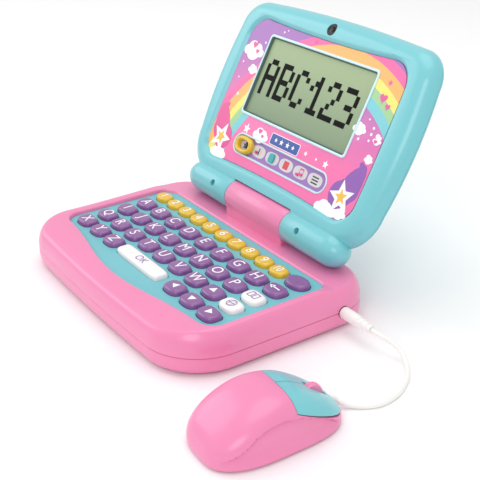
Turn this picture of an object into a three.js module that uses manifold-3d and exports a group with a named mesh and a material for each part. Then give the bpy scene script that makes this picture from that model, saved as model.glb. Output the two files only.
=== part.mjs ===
// Toy laptop computer with a wired mouse, in millimetres, +Z up.
// Built with X to the user's right, Y towards the hinge and Z = 0 on the table. At the end the whole
// model is shifted so that the origin lies under the middle of the laptop and mouse.
import * as THREE from 'three';
import { mergeVertices } from 'three/addons/utils/BufferGeometryUtils.js';
import Module from 'manifold-3d';

const wasm = await Module();
wasm.setup();

// ---- Driving dimensions -------------------------------------------------------------------------
const GAP = 0.3;                 // between pieces that touch or are screwed together
const WALL = 2.4;                // shell thickness

// Base
const BASE_HALF = 116;           // from the middle of the keyboard to the right side
const BASE_LEFT = 119.5;         // and to the left side
const BASE_FRONT = -92;          // front edge where it meets the corners
const BASE_BOW = 1.8;            // how far the middle of the front edge bows out
const BASE_REAR = 65.5;
const BASE_FRONT_R = 42;         // right front corner
const BASE_LEFT_R = 34;          // left front corner
const BASE_REAR_R = 30;
const FOOT_H = 1.5;
const PARTING_Z = 14;
const CASE_TOP = 32;
const DECK_Z = 29.2;             // behind the keyboard, round the hinge
const RIM_INSET = 11;            // the rounded shoulder of the top case, seen from above
const RIM_DROP = 16;             // and seen from the side

// Keyboard
const KEY_X = 22;                // column pitch
const KEY_Y = 17.25;             // row pitch
const NUMBER_X = 17.55;          // pitch of the number row
const NUMBER_FIRST = -90.6;
const NUMBER_Y = 17.9;           // the number row, measured from the first letter row
const KEY_W = 18.6;
const KEY_D = 13.2;
const NUMBER_W = 16.2;
const NUMBER_D = 12;
const BEZEL_HALF = 105;
const BEZEL_REAR = 31.5;
const BEZEL_TOP = 28;
const BEZEL_T = 1.8;
const KEY_TOP = 31.6;
const KEY_TRAVEL = 2;
const KEY_CLEAR = 0.45;
const FLANGE = 1;                // lip that keeps a key under the bezel
const NUMBER_FLANGE = 0.6;
const FLANGE_Z = 24.6;
const FLANGE_T = 1.2;

// Hinge
const HINGE_Y = 51.8;
const HINGE_Z = 42.3;
const BARREL_R = 12.2;
const BARREL_HALF = 35.9;        // half length of the base's own barrel
const BARREL_END = 97.5;         // outer end of each lid barrel
const LID_ANGLE = 61;            // the lid's lean from the table, as it is shown
const PIN_R = 2.4;

// Lid, in its own frame: X right, Y up from the hinge axis, Z out of the screen side
const LID_HALF = 110.4;
const LID_BULGE = 3.3;           // how far its sides bow out
const LID_BOTTOM = 1;
const LID_TOP = 150.6;
const LID_ARCH = 2.8;            // rise of the top edge from its corners to the middle
const LID_TOP_R = 23;
const LID_BOTTOM_R = 33.5;
const LID_CREST = 7.8;           // front of the border
const LID_BACK = -8.6;
const LID_PARTING = -4;
const BARREL_DOME = 16;          // length of the dome that ends each barrel
const PANEL_Z = 5.7;             // face of the printed panel
const PANEL_HALF = 91.5;
const PANEL_BOTTOM = 19.2;
const PANEL_TOP = 133.2;
const PANEL_R = 13;
const FRAME_HALF = 64.2;         // raised frame round the screen
const FRAME_BOTTOM = 59.4;
const FRAME_TOP = 124.2;
const FRAME_W = 2.9;
const MODE_PITCH = 17.5;         // six positions of the mode slider
const MODE_Y = 37.4;
const MODE_HALF = 56.5;
const MODE_HALF_H = 7;
const CAMERA_X = 1.2;
const CAMERA_Y = 140.3;

// Mouse and its lead
const MOUSE = new THREE.Vector3(177.2, -70.3, 0);
const MOUSE_YAW = -4;
const MOUSE_L = 90;
const MOUSE_W = 55.5;
const MOUSE_H = 32.3;
const MOUSE_SEAM = 8.6;          // height of the parting between sole and cover
const BUTTON_REAR = 7;          // where the two buttons meet the palm cover
const BUTTON_SIDE_Z = 24;      // lower edge of the buttons there; it runs down to the front
const BUTTON_FRONT_Z = 4.5;      // the same edge, just past the front of the mouse
const LEAD_Z = 7;
const PLUG_Y = 35.8;
const PLUG_Z = 14;
const PLUG_L = 28;
const CORD_D = 3.2;

// ---- Materials ----------------------------------------------------------------------------------
const plastic = (color, roughness = 0.35) => new THREE.MeshStandardMaterial({ color, roughness, metalness: 0 });
const PINK = plastic(0xf282b6);
const TURQUOISE = plastic(0x8fd3da);
const PURPLE = plastic(0x9a5fb0);
const YELLOW = plastic(0xf2c93a);
const WHITE = plastic(0xf4f1ee);
const DARK = plastic(0x101012, 0.15);
const BOARD = plastic(0x2f7a4a, 0.6);
const RUBBER = plastic(0xd8d4d0, 0.8);
const STEEL = new THREE.MeshStandardMaterial({ color: 0xb8bcc0, roughness: 0.3, metalness: 1 });
const LCD = plastic(0x9fb18c, 0.4);

// ---- Solids -------------------------------------------------------------------------------------
function solid(geometry) {
  const g = geometry.clone();
  g.deleteAttribute('normal');
  g.deleteAttribute('uv');
  const m = mergeVertices(g, 1e-4);
  return new wasm.Manifold(new wasm.Mesh({
    numProp: 3,
    vertProperties: new Float32Array(m.attributes.position.array),
    triVerts: new Uint32Array(m.index.array),
  }));
}

function toGeometry(body) {
  const mesh = body.getMesh();
  const g = new THREE.BufferGeometry();
  g.setAttribute('position', new THREE.BufferAttribute(new Float32Array(mesh.vertProperties), 3));
  g.setIndex(new THREE.BufferAttribute(new Uint32Array(mesh.triVerts), 1));
  g.computeVertexNormals();
  return g;
}

const cut = (body, ...tools) => tools.reduce((rest, tool) => rest.subtract(tool), body);
const join = (body, ...others) => others.reduce((all, other) => all.add(other), body);

// A straight prism of an outline between two heights.
function prism(shape, low, high, curveSegments = 4) {
  const g = new THREE.ExtrudeGeometry(shape, { depth: high - low, bevelEnabled: false, curveSegments });
  return solid(g.translate(0, 0, low));
}

// A prism whose top and bottom edges are rounded by the given width and height.
function pillow(shape, low, high, width, height, steps = 3, curveSegments = 4) {
  const g = new THREE.ExtrudeGeometry(shape, {
    depth: high - low - 2 * height,
    bevelSize: width,
    bevelThickness: height,
    bevelSegments: steps,
    curveSegments,
  });
  return solid(g.translate(0, 0, low + height));
}

function box(x0, x1, y0, y1, z0, z1) {
  const g = new THREE.BoxGeometry(x1 - x0, y1 - y0, z1 - z0);
  return solid(g.translate((x0 + x1) / 2, (y0 + y1) / 2, (z0 + z1) / 2));
}

// A round bar along X, Y or Z.
function bar(axis, radius, from, to, a, b, sides = 24) {
  const g = new THREE.CylinderGeometry(radius, radius, to - from, sides);
  const middle = (from + to) / 2;
  if (axis === 'x') g.rotateZ(Math.PI / 2).translate(middle, a, b);
  if (axis === 'y') g.translate(a, middle, b);
  if (axis === 'z') g.rotateX(Math.PI / 2).translate(a, b, middle);
  return solid(g);
}

// ---- Outlines -----------------------------------------------------------------------------------
function roundedRect(x0, x1, y0, y1, r) {
  const s = new THREE.Shape();
  s.moveTo(x0 + r, y0);
  s.lineTo(x1 - r, y0);
  s.absarc(x1 - r, y0 + r, r, -Math.PI / 2, 0);
  s.lineTo(x1, y1 - r);
  s.absarc(x1 - r, y1 - r, r, 0, Math.PI / 2);
  s.lineTo(x0 + r, y1);
  s.absarc(x0 + r, y1 - r, r, Math.PI / 2, Math.PI);
  s.lineTo(x0, y0 + r);
  s.absarc(x0 + r, y0 + r, r, Math.PI, 1.5 * Math.PI);
  return s;
}

// The base seen from above, drawn in by `inset`.
function baseOutline(inset) {
  const right = BASE_HALF - inset;
  const left = -BASE_LEFT + inset;
  const front = BASE_FRONT + inset;
  const rear = BASE_REAR - inset;
  const rf = BASE_FRONT_R - inset;
  const rl = BASE_LEFT_R - inset;
  const rr = BASE_REAR_R - inset;
  const s = new THREE.Shape();
  s.moveTo(left + rl, front);
  s.quadraticCurveTo(0, front - 2 * BASE_BOW, right - rf, front);
  s.absarc(right - rf, front + rf, rf, -Math.PI / 2, 0);
  s.lineTo(right, rear - rr);
  s.absarc(right - rr, rear - rr, rr, 0, Math.PI / 2);
  s.lineTo(left + rr, rear);
  s.absarc(left + rr, rear - rr, rr, Math.PI / 2, Math.PI);
  s.lineTo(left, front + rl);
  s.absarc(left + rl, front + rl, rl, Math.PI, 1.5 * Math.PI);
  return s;
}

// The keyboard bezel: straight at the back, with a wave in front that dips towards the user.
function bezelOutline(inset) {
  const half = BEZEL_HALF - inset;
  const rear = BEZEL_REAR - inset;
  const corner = -63 + inset;
  const middle = -75 + inset;
  const s = new THREE.Shape();
  s.moveTo(-half + 12, corner);
  s.bezierCurveTo(-55, corner - 2, -35, middle, 0, middle);
  s.bezierCurveTo(35, middle, 55, corner - 2, half - 12, corner);
  s.absarc(half - 12, corner + 12, 12, -Math.PI / 2, 0);
  s.lineTo(half, rear - 10);
  s.absarc(half - 10, rear - 10, 10, 0, Math.PI / 2);
  s.lineTo(-half + 14, rear);
  s.absarc(-half + 14, rear - 14, 14, Math.PI / 2, Math.PI);
  s.lineTo(-half, corner + 12);
  s.absarc(-half + 12, corner + 12, 12, Math.PI, 1.5 * Math.PI);
  return s;
}

// A keycap: straight at the back, rounded at the sides and bowed in front.
function keyOutline(x, y, width, depth, grow) {
  const w = width / 2 + grow;
  const d = depth / 2 + grow;
  const r = depth * 0.3;
  const s = new THREE.Shape();
  s.moveTo(x - w + r * 0.6, y - d + r * 0.7);
  s.quadraticCurveTo(x, y - d - r * 0.45, x + w - r * 0.6, y - d + r * 0.7);
  s.lineTo(x + w, y - d + r * 1.4);
  s.lineTo(x + w, y + d - r);
  s.lineTo(x + w - r, y + d);
  s.lineTo(x - w + r, y + d);
  s.lineTo(x - w, y + d - r);
  s.lineTo(x - w, y - d + r * 1.4);
  return s;
}

// The lid seen from the front, with sides that bow out and large round corners.
function lidOutline(inset) {
  const half = LID_HALF - inset;
  const low = LID_BOTTOM + inset;
  const high = LID_TOP - inset;
  const shoulder = high - LID_ARCH;
  const r = LID_TOP_R - inset;
  const rb = LID_BOTTOM_R - inset;
  const bulge = half + 2 * LID_BULGE;
  const middle = (low + rb + shoulder - r) / 2;
  const s = new THREE.Shape();
  s.moveTo(-half + rb, low);
  s.lineTo(half - rb, low);
  s.absarc(half - rb, low + rb, rb, -Math.PI / 2, 0);
  s.quadraticCurveTo(bulge, middle, half, shoulder - r);
  s.absarc(half - r, shoulder - r, r, 0, Math.PI / 2);
  s.quadraticCurveTo(0, high + LID_ARCH, -half + r, shoulder);
  s.absarc(-half + r, shoulder - r, r, Math.PI / 2, Math.PI);
  s.quadraticCurveTo(-bulge, middle, -half, low + rb);
  s.absarc(-half + rb, low + rb, rb, Math.PI, 1.5 * Math.PI);
  return s;
}

const panelOutline = (inset) =>
  roundedRect(-PANEL_HALF + inset, PANEL_HALF - inset, PANEL_BOTTOM + inset, PANEL_TOP - inset, PANEL_R - inset);
const screenOutline = (grow) =>
  roundedRect(-FRAME_HALF - grow, FRAME_HALF + grow, FRAME_BOTTOM - grow, FRAME_TOP + grow, 2.5 + grow / 2);
const modeOutline = (grow) => {
  const h = MODE_HALF_H + grow;
  return roundedRect(-MODE_HALF - grow, MODE_HALF + grow, MODE_Y - h, MODE_Y + h, h - 0.01);
};

// ---- The group and its meshes -------------------------------------------------------------------
const model = new THREE.Group();
const lid = new THREE.Group();
lid.position.set(0, HINGE_Y, HINGE_Z);
lid.rotation.x = THREE.MathUtils.degToRad(LID_ANGLE);
const mouse = new THREE.Group();
mouse.position.copy(MOUSE);
mouse.rotation.z = THREE.MathUtils.degToRad(MOUSE_YAW);
model.add(lid, mouse);

function piece(name, body, material, parent = model) {
  const mesh = new THREE.Mesh(toGeometry(body), material);
  mesh.name = name;
  parent.add(mesh);
  return mesh;
}

// ---- Keys ---------------------------------------------------------------------------------------
// Each key: name, column and row on the letter grid, width, depth and material.
const keys = [];
const addKey = (name, column, row, width = KEY_W, depth = KEY_D, material = PURPLE) =>
  keys.push({ name, x: (column - 4) * KEY_X, y: -row * KEY_Y, width, depth, material });

'ABCDEFGH'.split('').forEach((letter, i) => addKey(`key_${letter}`, i, 0));
'IJKLMNOP'.split('').forEach((letter, i) => addKey(`key_${letter}`, i, 1));
'QRSTUVW'.split('').forEach((letter, i) => addKey(`key_${letter}`, i, 2));
'XYZ'.split('').forEach((letter, i) => addKey(`key_${letter}`, i, 3));
addKey('key_erase', 8, 0);
addKey('key_book', 8, 1, KEY_W, KEY_D, WHITE);
addKey('key_up', 7, 2);
addKey('key_language', 8, 2, KEY_W, KEY_D, WHITE);
addKey('key_enter', 3.93, 3, 58, 12.2, WHITE);
addKey('key_left', 6.08, 3);
addKey('key_down', 7.05, 3);
addKey('key_right', 8.02, 3);
addKey('key_round', 8.01, -NUMBER_Y / KEY_Y, 21, 14.5);

const numbers = Array.from({ length: 10 }, (_, i) => ({
  x: NUMBER_FIRST + NUMBER_X * i,
  y: NUMBER_Y,
}));

// A key's cap stands through the bezel; the lip below holds it in.
function keySolid(x, y, width, depth, flange = FLANGE) {
  const cap = pillow(keyOutline(x, y, width - 2.4, depth - 2.4, 0), FLANGE_Z, KEY_TOP, 1.2, 1.2, 1, 2);
  const lip = prism(keyOutline(x, y, width, depth, flange), FLANGE_Z, FLANGE_Z + FLANGE_T, 2);
  return join(cap, lip);
}

for (const key of keys) {
  piece(key.name, keySolid(key.x, key.y, key.width, key.depth), key.material);
}

// The ten number keys share one moulded web under the bezel.
const web = box(numbers[0].x, numbers[9].x, NUMBER_Y - 2, NUMBER_Y + 2, FLANGE_Z, FLANGE_Z + FLANGE_T);
const numberCaps = numbers.map((n) => keySolid(n.x, n.y, NUMBER_W, NUMBER_D, NUMBER_FLANGE));
piece('number_key_strip', join(web, ...numberCaps), YELLOW);

// ---- Base ---------------------------------------------------------------------------------------
const keyHoles = keys
  .map((k) => prism(keyOutline(k.x, k.y, k.width, k.depth, KEY_CLEAR), 20, 40, 2))
  .concat(numbers.map((n) => prism(keyOutline(n.x, n.y, NUMBER_W, NUMBER_D, KEY_CLEAR), 20, 40, 2)));
const bezelBlank = prism(bezelOutline(GAP), BEZEL_TOP - BEZEL_T, BEZEL_TOP);
piece('keyboard_bezel', cut(bezelBlank, ...keyHoles), TURQUOISE);

const above = (z) => box(-200, 200, -200, 200, z, 200);
const below = (z) => box(-200, 200, -200, 200, -50, z);

// A side view of the top case: the level deck, and the long slope down to the front edge.
const caseProfile = new THREE.Shape();
caseProfile.moveTo(90, -20);
caseProfile.lineTo(90, DECK_Z);
caseProfile.lineTo(BEZEL_REAR + 2, DECK_Z);
caseProfile.lineTo(BEZEL_REAR - 6, CASE_TOP + 0.1);
caseProfile.lineTo(-60, CASE_TOP + 0.1);
caseProfile.quadraticCurveTo(-90, 31, -98, 11);
caseProfile.lineTo(-98, -20);
const alongX = (shape, half, curveSegments) => {
  const g = new THREE.ExtrudeGeometry(shape, { depth: 2 * half, bevelEnabled: false, curveSegments });
  return solid(g.rotateX(Math.PI / 2).rotateZ(Math.PI / 2).translate(-half, 0, 0));
};

// Top case: a rounded shoulder, the well for the bezel, a trough for the lid barrels and the middle barrel.
const shoulder = pillow(baseOutline(RIM_INSET), -20, CASE_TOP, RIM_INSET, RIM_DROP, 4, 5)
  .intersect(alongX(caseProfile, 130, 6));
const LEDGE_Z = BEZEL_TOP - BEZEL_T - GAP;
const CEILING_Z = 22.5;
const well = prism(bezelOutline(0), LEDGE_Z, 60);
const keyField = prism(bezelOutline(2), 10, 60);
const topCavity = cut(prism(baseOutline(4), 0, CEILING_Z), box(-130, 130, -120, -82, 16, 40));
const socketHole = bar('x', 4.8, BASE_HALF - 12, BASE_HALF + 10, PLUG_Y, PLUG_Z, 16);
const middleBarrel = join(
  bar('x', BARREL_R, -BARREL_HALF, BARREL_HALF, HINGE_Y, HINGE_Z, 32),
  box(-BARREL_HALF, BARREL_HALF, HINGE_Y - BARREL_R + 1.5, HINGE_Y + BARREL_R - 1.5, DECK_Z - 5, HINGE_Z),
);
const trough = bar('x', BARREL_R + 0.7, -BARREL_END - 4, BARREL_END + 4, HINGE_Y, HINGE_Z, 32);
const topShell = cut(shoulder.intersect(above(PARTING_Z + GAP)), topCavity, trough, well, keyField, socketHole);
const pinBore = bar('x', PIN_R + 0.4, -200, 200, HINGE_Y, HINGE_Z, 16);
piece('top_case', cut(join(topShell, middleBarrel), pinBore), PINK);

// Bottom case: a tray with four moulded feet, a battery opening and a speaker grille.
const DOOR = { x0: -62, x1: 22, y0: 0, y1: 46 };
const SPEAKER = { x: 62, y: -30, r: 20 };
const FOOT_X = 84;
const FEET_Y = [-66, 42];
const tray = pillow(baseOutline(7), FOOT_H, 80, 7, 7, 4, 5).intersect(below(PARTING_Z));
const trayCavity = prism(baseOutline(WALL + 1.6), FOOT_H + WALL, 40);
const doorHole = box(DOOR.x0, DOOR.x1, DOOR.y0, DOOR.y1, 0, 10);
const slots = [-2, -1, 0, 1, 2].map((i) =>
  prism(roundedRect(SPEAKER.x + i * 6 - 1.2, SPEAKER.x + i * 6 + 1.2, SPEAKER.y - 11, SPEAKER.y + 11, 1.1), 0, 10, 2));
const feet = [-FOOT_X, FOOT_X].flatMap((x) => FEET_Y.map((y) => bar('z', 6, 0, FOOT_H + 1, x, y, 16)));
const BOARD_Z = 12;
const posts = [-62, 34].flatMap((x) => [-50, -13].map((y) => bar('z', 3, FOOT_H + 1, BOARD_Z - GAP, x, y, 10)));
const bay = box(DOOR.x0 - 1.6, DOOR.x1 + 1.6, DOOR.y0 - 1.6, DOOR.y1 + 1.6, FOOT_H + 1, 20.2);
const bayInside = box(DOOR.x0, DOOR.x1, DOOR.y0, DOOR.y1, 0, 18.6);
const trayShell = cut(tray, trayCavity, doorHole, socketHole, ...slots);
piece('bottom_case', join(trayShell, cut(bay, bayInside), ...feet, ...posts), PINK);

const doorPlate = box(DOOR.x0 + GAP, DOOR.x1 - GAP, DOOR.y0 + GAP, DOOR.y1 - GAP, FOOT_H, FOOT_H + WALL);
const doorGrip = prism(roundedRect(-34, -6, DOOR.y0 + 5, DOOR.y0 + 9, 1.9), 0, FOOT_H + 0.8, 2);
piece('battery_door', cut(doorPlate, doorGrip), PINK);

piece('main_board', box(-70, 40, -56, -7, BOARD_Z, BOARD_Z + 1.6), BOARD);
piece('key_membrane', prism(bezelOutline(-3), CEILING_Z - GAP - 1.5, CEILING_Z - GAP), RUBBER);
const basket = join(
  bar('z', SPEAKER.r, FOOT_H + WALL + GAP, 6, SPEAKER.x, SPEAKER.y, 24),
  bar('z', 11, 5, 10.6, SPEAKER.x, SPEAKER.y, 20),
);
piece('speaker', basket, DARK);

// The socket that the mouse plugs into: a sleeve set in the right-hand side.
const sleeve = cut(
  bar('x', 4.4, BASE_HALF - 14, BASE_HALF - 0.6, PLUG_Y, PLUG_Z, 16),
  bar('x', 1.9, BASE_HALF - 20, BASE_HALF + 2, PLUG_Y, PLUG_Z, 12),
);
piece('mouse_socket', sleeve, DARK);

// The pin runs through the middle barrel into both lid barrels.
piece('hinge_pin', bar('x', PIN_R, -BARREL_HALF - 20, BARREL_HALF + 20, HINGE_Y, HINGE_Z, 16), STEEL);

// ---- Lid ----------------------------------------------------------------------------------------
const lidFloor = PANEL_Z - 0.4 - GAP;
const lidBarrel = (side) => {
  const inner = side * (BARREL_HALF + GAP);
  const outer = side * BARREL_END;
  const dome = new THREE.SphereGeometry(BARREL_R, 24, 12).rotateZ(Math.PI / 2).scale(BARREL_DOME / BARREL_R, 1, 1);
  const centre = outer - side * BARREL_DOME;
  const straight = bar('x', BARREL_R, Math.min(inner, centre), Math.max(inner, centre), 0, 0, 24);
  return join(straight, solid(dome.translate(centre, 0, 0)));
};
const barrelNotch = bar('x', BARREL_R + 0.9, -BARREL_HALF - GAP, BARREL_HALF + GAP, 0, 0, 32);
const lidBore = bar('x', PIN_R + 0.4, -BARREL_HALF - 22, BARREL_HALF + 22, 0, 0, 16);
const screwHole = (side) => bar('z', 2.5, 4, 20, side * 55, 0, 12);

const border = pillow(lidOutline(12), -60, LID_CREST, 12, LID_CREST - LID_PARTING, 4, 5);
const panelRecess = pillow(panelOutline(0), lidFloor, 60, 2.2, LID_CREST - lidFloor, 1, 4);
const lidCavity = prism(lidOutline(5), -30, lidFloor - 1.8);
const screenFrame = prism(screenOutline(0), lidFloor - 1, PANEL_Z + 0.9);
const screenHole = prism(screenOutline(-FRAME_W), -30, 60);
const modeRim = prism(modeOutline(1.4), lidFloor - 1, PANEL_Z + 0.5);
const modePocket = prism(modeOutline(0), lidFloor - 0.9, 60);
const modeSlot = box(-MODE_HALF + 9, MODE_HALF - 9, MODE_Y + 4.4, MODE_Y + 5.8, -30, 60);
const cameraHole = bar('z', 5, -30, 30, CAMERA_X, CAMERA_Y, 20);
const frontShell = cut(border.intersect(above(LID_PARTING + GAP / 2)), lidCavity, panelRecess);
const frontWithTrim = cut(join(frontShell, screenFrame, modeRim), screenHole, modePocket, modeSlot, cameraHole);
const lidFront = cut(
  join(frontWithTrim, lidBarrel(-1), lidBarrel(1)),
  barrelNotch, lidBore, screwHole(-1), screwHole(1),
);
piece('lid_front', lidFront, TURQUOISE, lid);

const backBlank = pillow(lidOutline(8), LID_BACK, 40, 8, 4.2, 3, 5).intersect(below(LID_PARTING - GAP / 2));
const backCavity = prism(lidOutline(5), LID_BACK + WALL, 40);
const barrelRelief = bar('x', BARREL_R + GAP, -BARREL_END - GAP, BARREL_END + GAP, 0, 0, 32);
piece('lid_back', cut(backBlank, backCavity, barrelRelief, barrelNotch), TURQUOISE, lid);

const art = cut(
  prism(panelOutline(GAP), PANEL_Z - 0.4, PANEL_Z),
  prism(screenOutline(GAP), 0, 30),
  prism(modeOutline(1.4 + GAP), 0, 30),
);
piece('art_panel', art, plastic(0xe879b0), lid);

const glass = prism(screenOutline(-FRAME_W - GAP), -1, PANEL_Z - 1.6);
const carrier = prism(screenOutline(3), -2.6, lidFloor - 1.8 - GAP);
piece('display_module', join(glass, carrier), LCD, lid);

const lens = bar('z', 4.7, 0, LID_CREST - 1, CAMERA_X, CAMERA_Y, 20);
piece('camera_lens', lens, DARK, lid);

// The mode slider is a ring that frames the chosen symbol, on a tongue that passes through the slot.
const modeX = -2.5 * MODE_PITCH;
const ringOuter = roundedRect(modeX - 10.6, modeX + 10.6, MODE_Y - 6.7, MODE_Y + 6.7, 6.5);
const ringHole = roundedRect(modeX - 6.4, modeX + 6.4, MODE_Y - 3.4, MODE_Y + 3.4, 3.3);
const ring = cut(
  pillow(roundedRect(modeX - 9.4, modeX + 9.4, MODE_Y - 5.5, MODE_Y + 5.5, 5.4), lidFloor - 0.6, 8.6, 1.2, 1.2, 2, 4)
    .intersect(prism(ringOuter, lidFloor - 0.6, 8.6)),
  prism(ringHole, 0, 30),
);
const tongue = box(modeX - 3, modeX + 3, MODE_Y + 4.7, MODE_Y + 5.5, 0.4, lidFloor);
piece('mode_slider', join(ring, tongue), YELLOW, lid);

// ---- Mouse --------------------------------------------------------------------------------------
// Its own frame: X right, Y towards the buttons, Z up.
const mousePlan = (inset) => {
  const corners = 32;
  const s = new THREE.Shape();
  for (let i = 0; i < corners; i += 1) {
    const a = (2 * Math.PI * (i + 0.5)) / corners;
    const x = (MOUSE_W / 2 - inset) * Math.sign(Math.cos(a)) * Math.abs(Math.cos(a)) ** 0.69;
    const y = (MOUSE_L / 2 - inset) * Math.sign(Math.sin(a)) * Math.abs(Math.sin(a)) ** 0.69;
    if (i === 0) s.moveTo(x, y);
    else s.lineTo(x, y);
  }
  return s;
};
const halfL = MOUSE_L / 2;
const mouseProfile = new THREE.Shape();
mouseProfile.moveTo(-halfL - 1, -20);
mouseProfile.lineTo(-halfL - 1, 6);
mouseProfile.bezierCurveTo(-halfL, 16, -halfL * 0.55, MOUSE_H, -halfL * 0.1, MOUSE_H);
mouseProfile.bezierCurveTo(halfL * 0.35, MOUSE_H, halfL * 0.6, 22, halfL, 9.5);
mouseProfile.lineTo(halfL + 1, 9);
mouseProfile.lineTo(halfL + 1, -20);
const mouseBlank = pillow(mousePlan(11), -30, MOUSE_H + 0.4, 11, 15, 4, 1)
  .intersect(alongX(mouseProfile, 60, 8));
const mouseInner = mouseBlank.translate([0, 0, -WALL]).intersect(prism(mousePlan(WALL), -10, 60, 1));
const SOLE_Z = 0.6;
const wheelY = 30.5;
const wheelZ = 14.7;
const wheelR = 8;
const wheelSlot = bar('x', wheelR + 0.7, -4, 4, wheelY, wheelZ, 20);
const leadHole = bar('y', 2.8, 30, 60, 0, LEAD_Z, 12);
const collar = cut(bar('y', 3.8, halfL - 3, halfL + 1.4, 0, LEAD_Z, 16), leadHole);

// The side view of the buttons, with room under their front ends for the press.
const buttonZone = (gap, drop) => {
  const s = new THREE.Shape();
  s.moveTo(BUTTON_REAR - gap, 60);
  s.lineTo(BUTTON_REAR - gap, BUTTON_SIDE_Z - gap);
  s.lineTo(halfL + 4, BUTTON_FRONT_Z - drop);
  s.lineTo(60, BUTTON_FRONT_Z - drop);
  s.lineTo(60, 60);
  return alongX(s, 60, 1);
};
const pressRoom = buttonZone(GAP, 1.7);
const soleBlank = mouseBlank.intersect(box(-60, 60, -60, 60, SOLE_Z, MOUSE_SEAM));
const soleCavity = prism(mousePlan(WALL), SOLE_Z + WALL, 40, 1);
const pads = [-28, 26].map((y) => prism(roundedRect(-12, 12, y - 4, y + 4, 3.9), 0, SOLE_Z + 0.6, 3));
const sole = join(cut(soleBlank, soleCavity, pressRoom, leadHole), collar.intersect(below(MOUSE_SEAM)), ...pads);
piece('mouse_base', sole, PINK, mouse);

const coverBlank = cut(mouseBlank, mouseInner).intersect(above(MOUSE_SEAM + GAP));
const coverNotch = bar('y', 4.4, 30, 60, 0, LEAD_Z, 16);
piece('mouse_cover', cut(coverBlank, pressRoom, coverNotch, wheelSlot), PINK, mouse);
const buttonNotch = bar('y', 5.3, 30, 60, 0, LEAD_Z, 16);
const buttonSide = (side) => {
  const x0 = side > 0 ? 0.3 : -60;
  const x1 = side > 0 ? 60 : -0.3;
  const half = coverBlank.intersect(box(x0, x1, -60, 60, 0, 60));
  return cut(half.intersect(buttonZone(0, 0)), wheelSlot, buttonNotch);
};
piece('mouse_left_button', buttonSide(-1), TURQUOISE, mouse);
piece('mouse_right_button', buttonSide(1), TURQUOISE, mouse);
const wheelRim = bar('x', wheelR, -3.2, 3.2, wheelY, wheelZ, 24);
piece('mouse_wheel', cut(wheelRim, bar('x', 1.6, -10, 10, wheelY, wheelZ, 12)), PINK, mouse);
const axle = bar('x', 1.2, -6.5, 6.5, wheelY, wheelZ, 10);
const uprights = [-6.6, 5.2].map((x) => box(x, x + 1.4, wheelY - 2.4, wheelY + 1.2, 5, wheelZ - 0.4));
const legs = [-10, 10].map((x) => bar('z', 1.5, SOLE_Z + WALL + GAP, 5, x, -12, 8));
piece('mouse_board', join(box(-14, 14, -22, 38, 4.4, 5.8), axle, ...uprights, ...legs), BOARD, mouse);

// ---- Lead ---------------------------------------------------------------------------------------
// The plug: a tapered grip with four rings, and the metal pin inside the socket.
const plugX = BASE_HALF + 0.4;
const plugProfile = [
  [0, 0], [4.2, 0], [4.2, 6], [3.9, 14], [3.8, 16], [3.1, 16.5], [3.1, 18], [3.7, 18.4], [3.6, 20], [3.0, 20.5],
  [3.0, 22], [3.4, 22.4], [3.3, 24], [2.7, 24.5], [2.7, 26], [3.0, 26.4], [2.7, PLUG_L], [0, PLUG_L],
].map(([r, x]) => new THREE.Vector2(r, x));
const grip = new THREE.LatheGeometry(plugProfile, 16).rotateZ(-Math.PI / 2).translate(plugX, PLUG_Y, PLUG_Z);
const tip = bar('x', 1.6, plugX - 13, plugX + 1, PLUG_Y, PLUG_Z, 12);
piece('cord_plug', join(solid(grip), tip), WHITE);

// The lead's route from the plug to the front of the mouse, resting on the table between them.
const route = [
  [plugX + PLUG_L + GAP, 35.8, 14], [151.3, 36.5, 13.4], [155, 38.3, 12.2], [158.2, 39.8, 10.9], [161.6, 41.1, 9.2],
  [165.8, 41.7, 7], [169.6, 41.1, 5], [174.6, 38.9, 3.2], [179.6, 35.5, 2.1], [183.6, 31.8, 1.7], [187.2, 27.5, 1.7],
  [191, 21.8, 1.7], [193.7, 16.8, 1.7], [195.6, 11.3, 1.7], [196.6, 6.4, 1.7], [196.9, 2.2, 1.7], [196.4, -2.2, 1.7],
  [194.5, -7.2, 1.7], [191.4, -12.1, 1.7], [187.8, -16.6, 2.1], [184.5, -19.9, 3], [182.2, -21.9, 4.3],
  [181, -23.2, 5.8], [180.5, -25.2, 6.8], [180.25, -27.6, 7],
].map((p) => new THREE.Vector3(...p));
const ring8 = new THREE.Shape().absarc(0, 0, CORD_D / 2, 0, 2 * Math.PI);
const lead = new THREE.ExtrudeGeometry(ring8, {
  steps: 56,
  curveSegments: 4,
  bevelEnabled: false,
  extrudePath: new THREE.CatmullRomCurve3(route),
});
piece('mouse_cord', solid(lead), WHITE);

// ---- Origin under the middle of the laptop and mouse ----------------------------------------------
model.updateMatrixWorld(true);
const bounds = new THREE.Box3();
model.traverse((o) => {
  if (o.isMesh && o.name !== 'cord_plug' && o.name !== 'mouse_cord') bounds.expandByObject(o, true);
});
const centre = bounds.getCenter(new THREE.Vector3());
const part = new THREE.Group();
model.position.set(-centre.x, -centre.y, -bounds.min.z);
part.add(model);

export default part;
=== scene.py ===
"""A toy laptop computer with a wired mouse, finished over its CAD frame.

Shapes are worked out in millimetres in one of three places: the case on the table, the lid, which
leans back about its hinge, and the mouse. settle() then puts each finished piece in the row frame.
"""
import math

import bpy
from mathutils import Matrix, Vector


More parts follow.
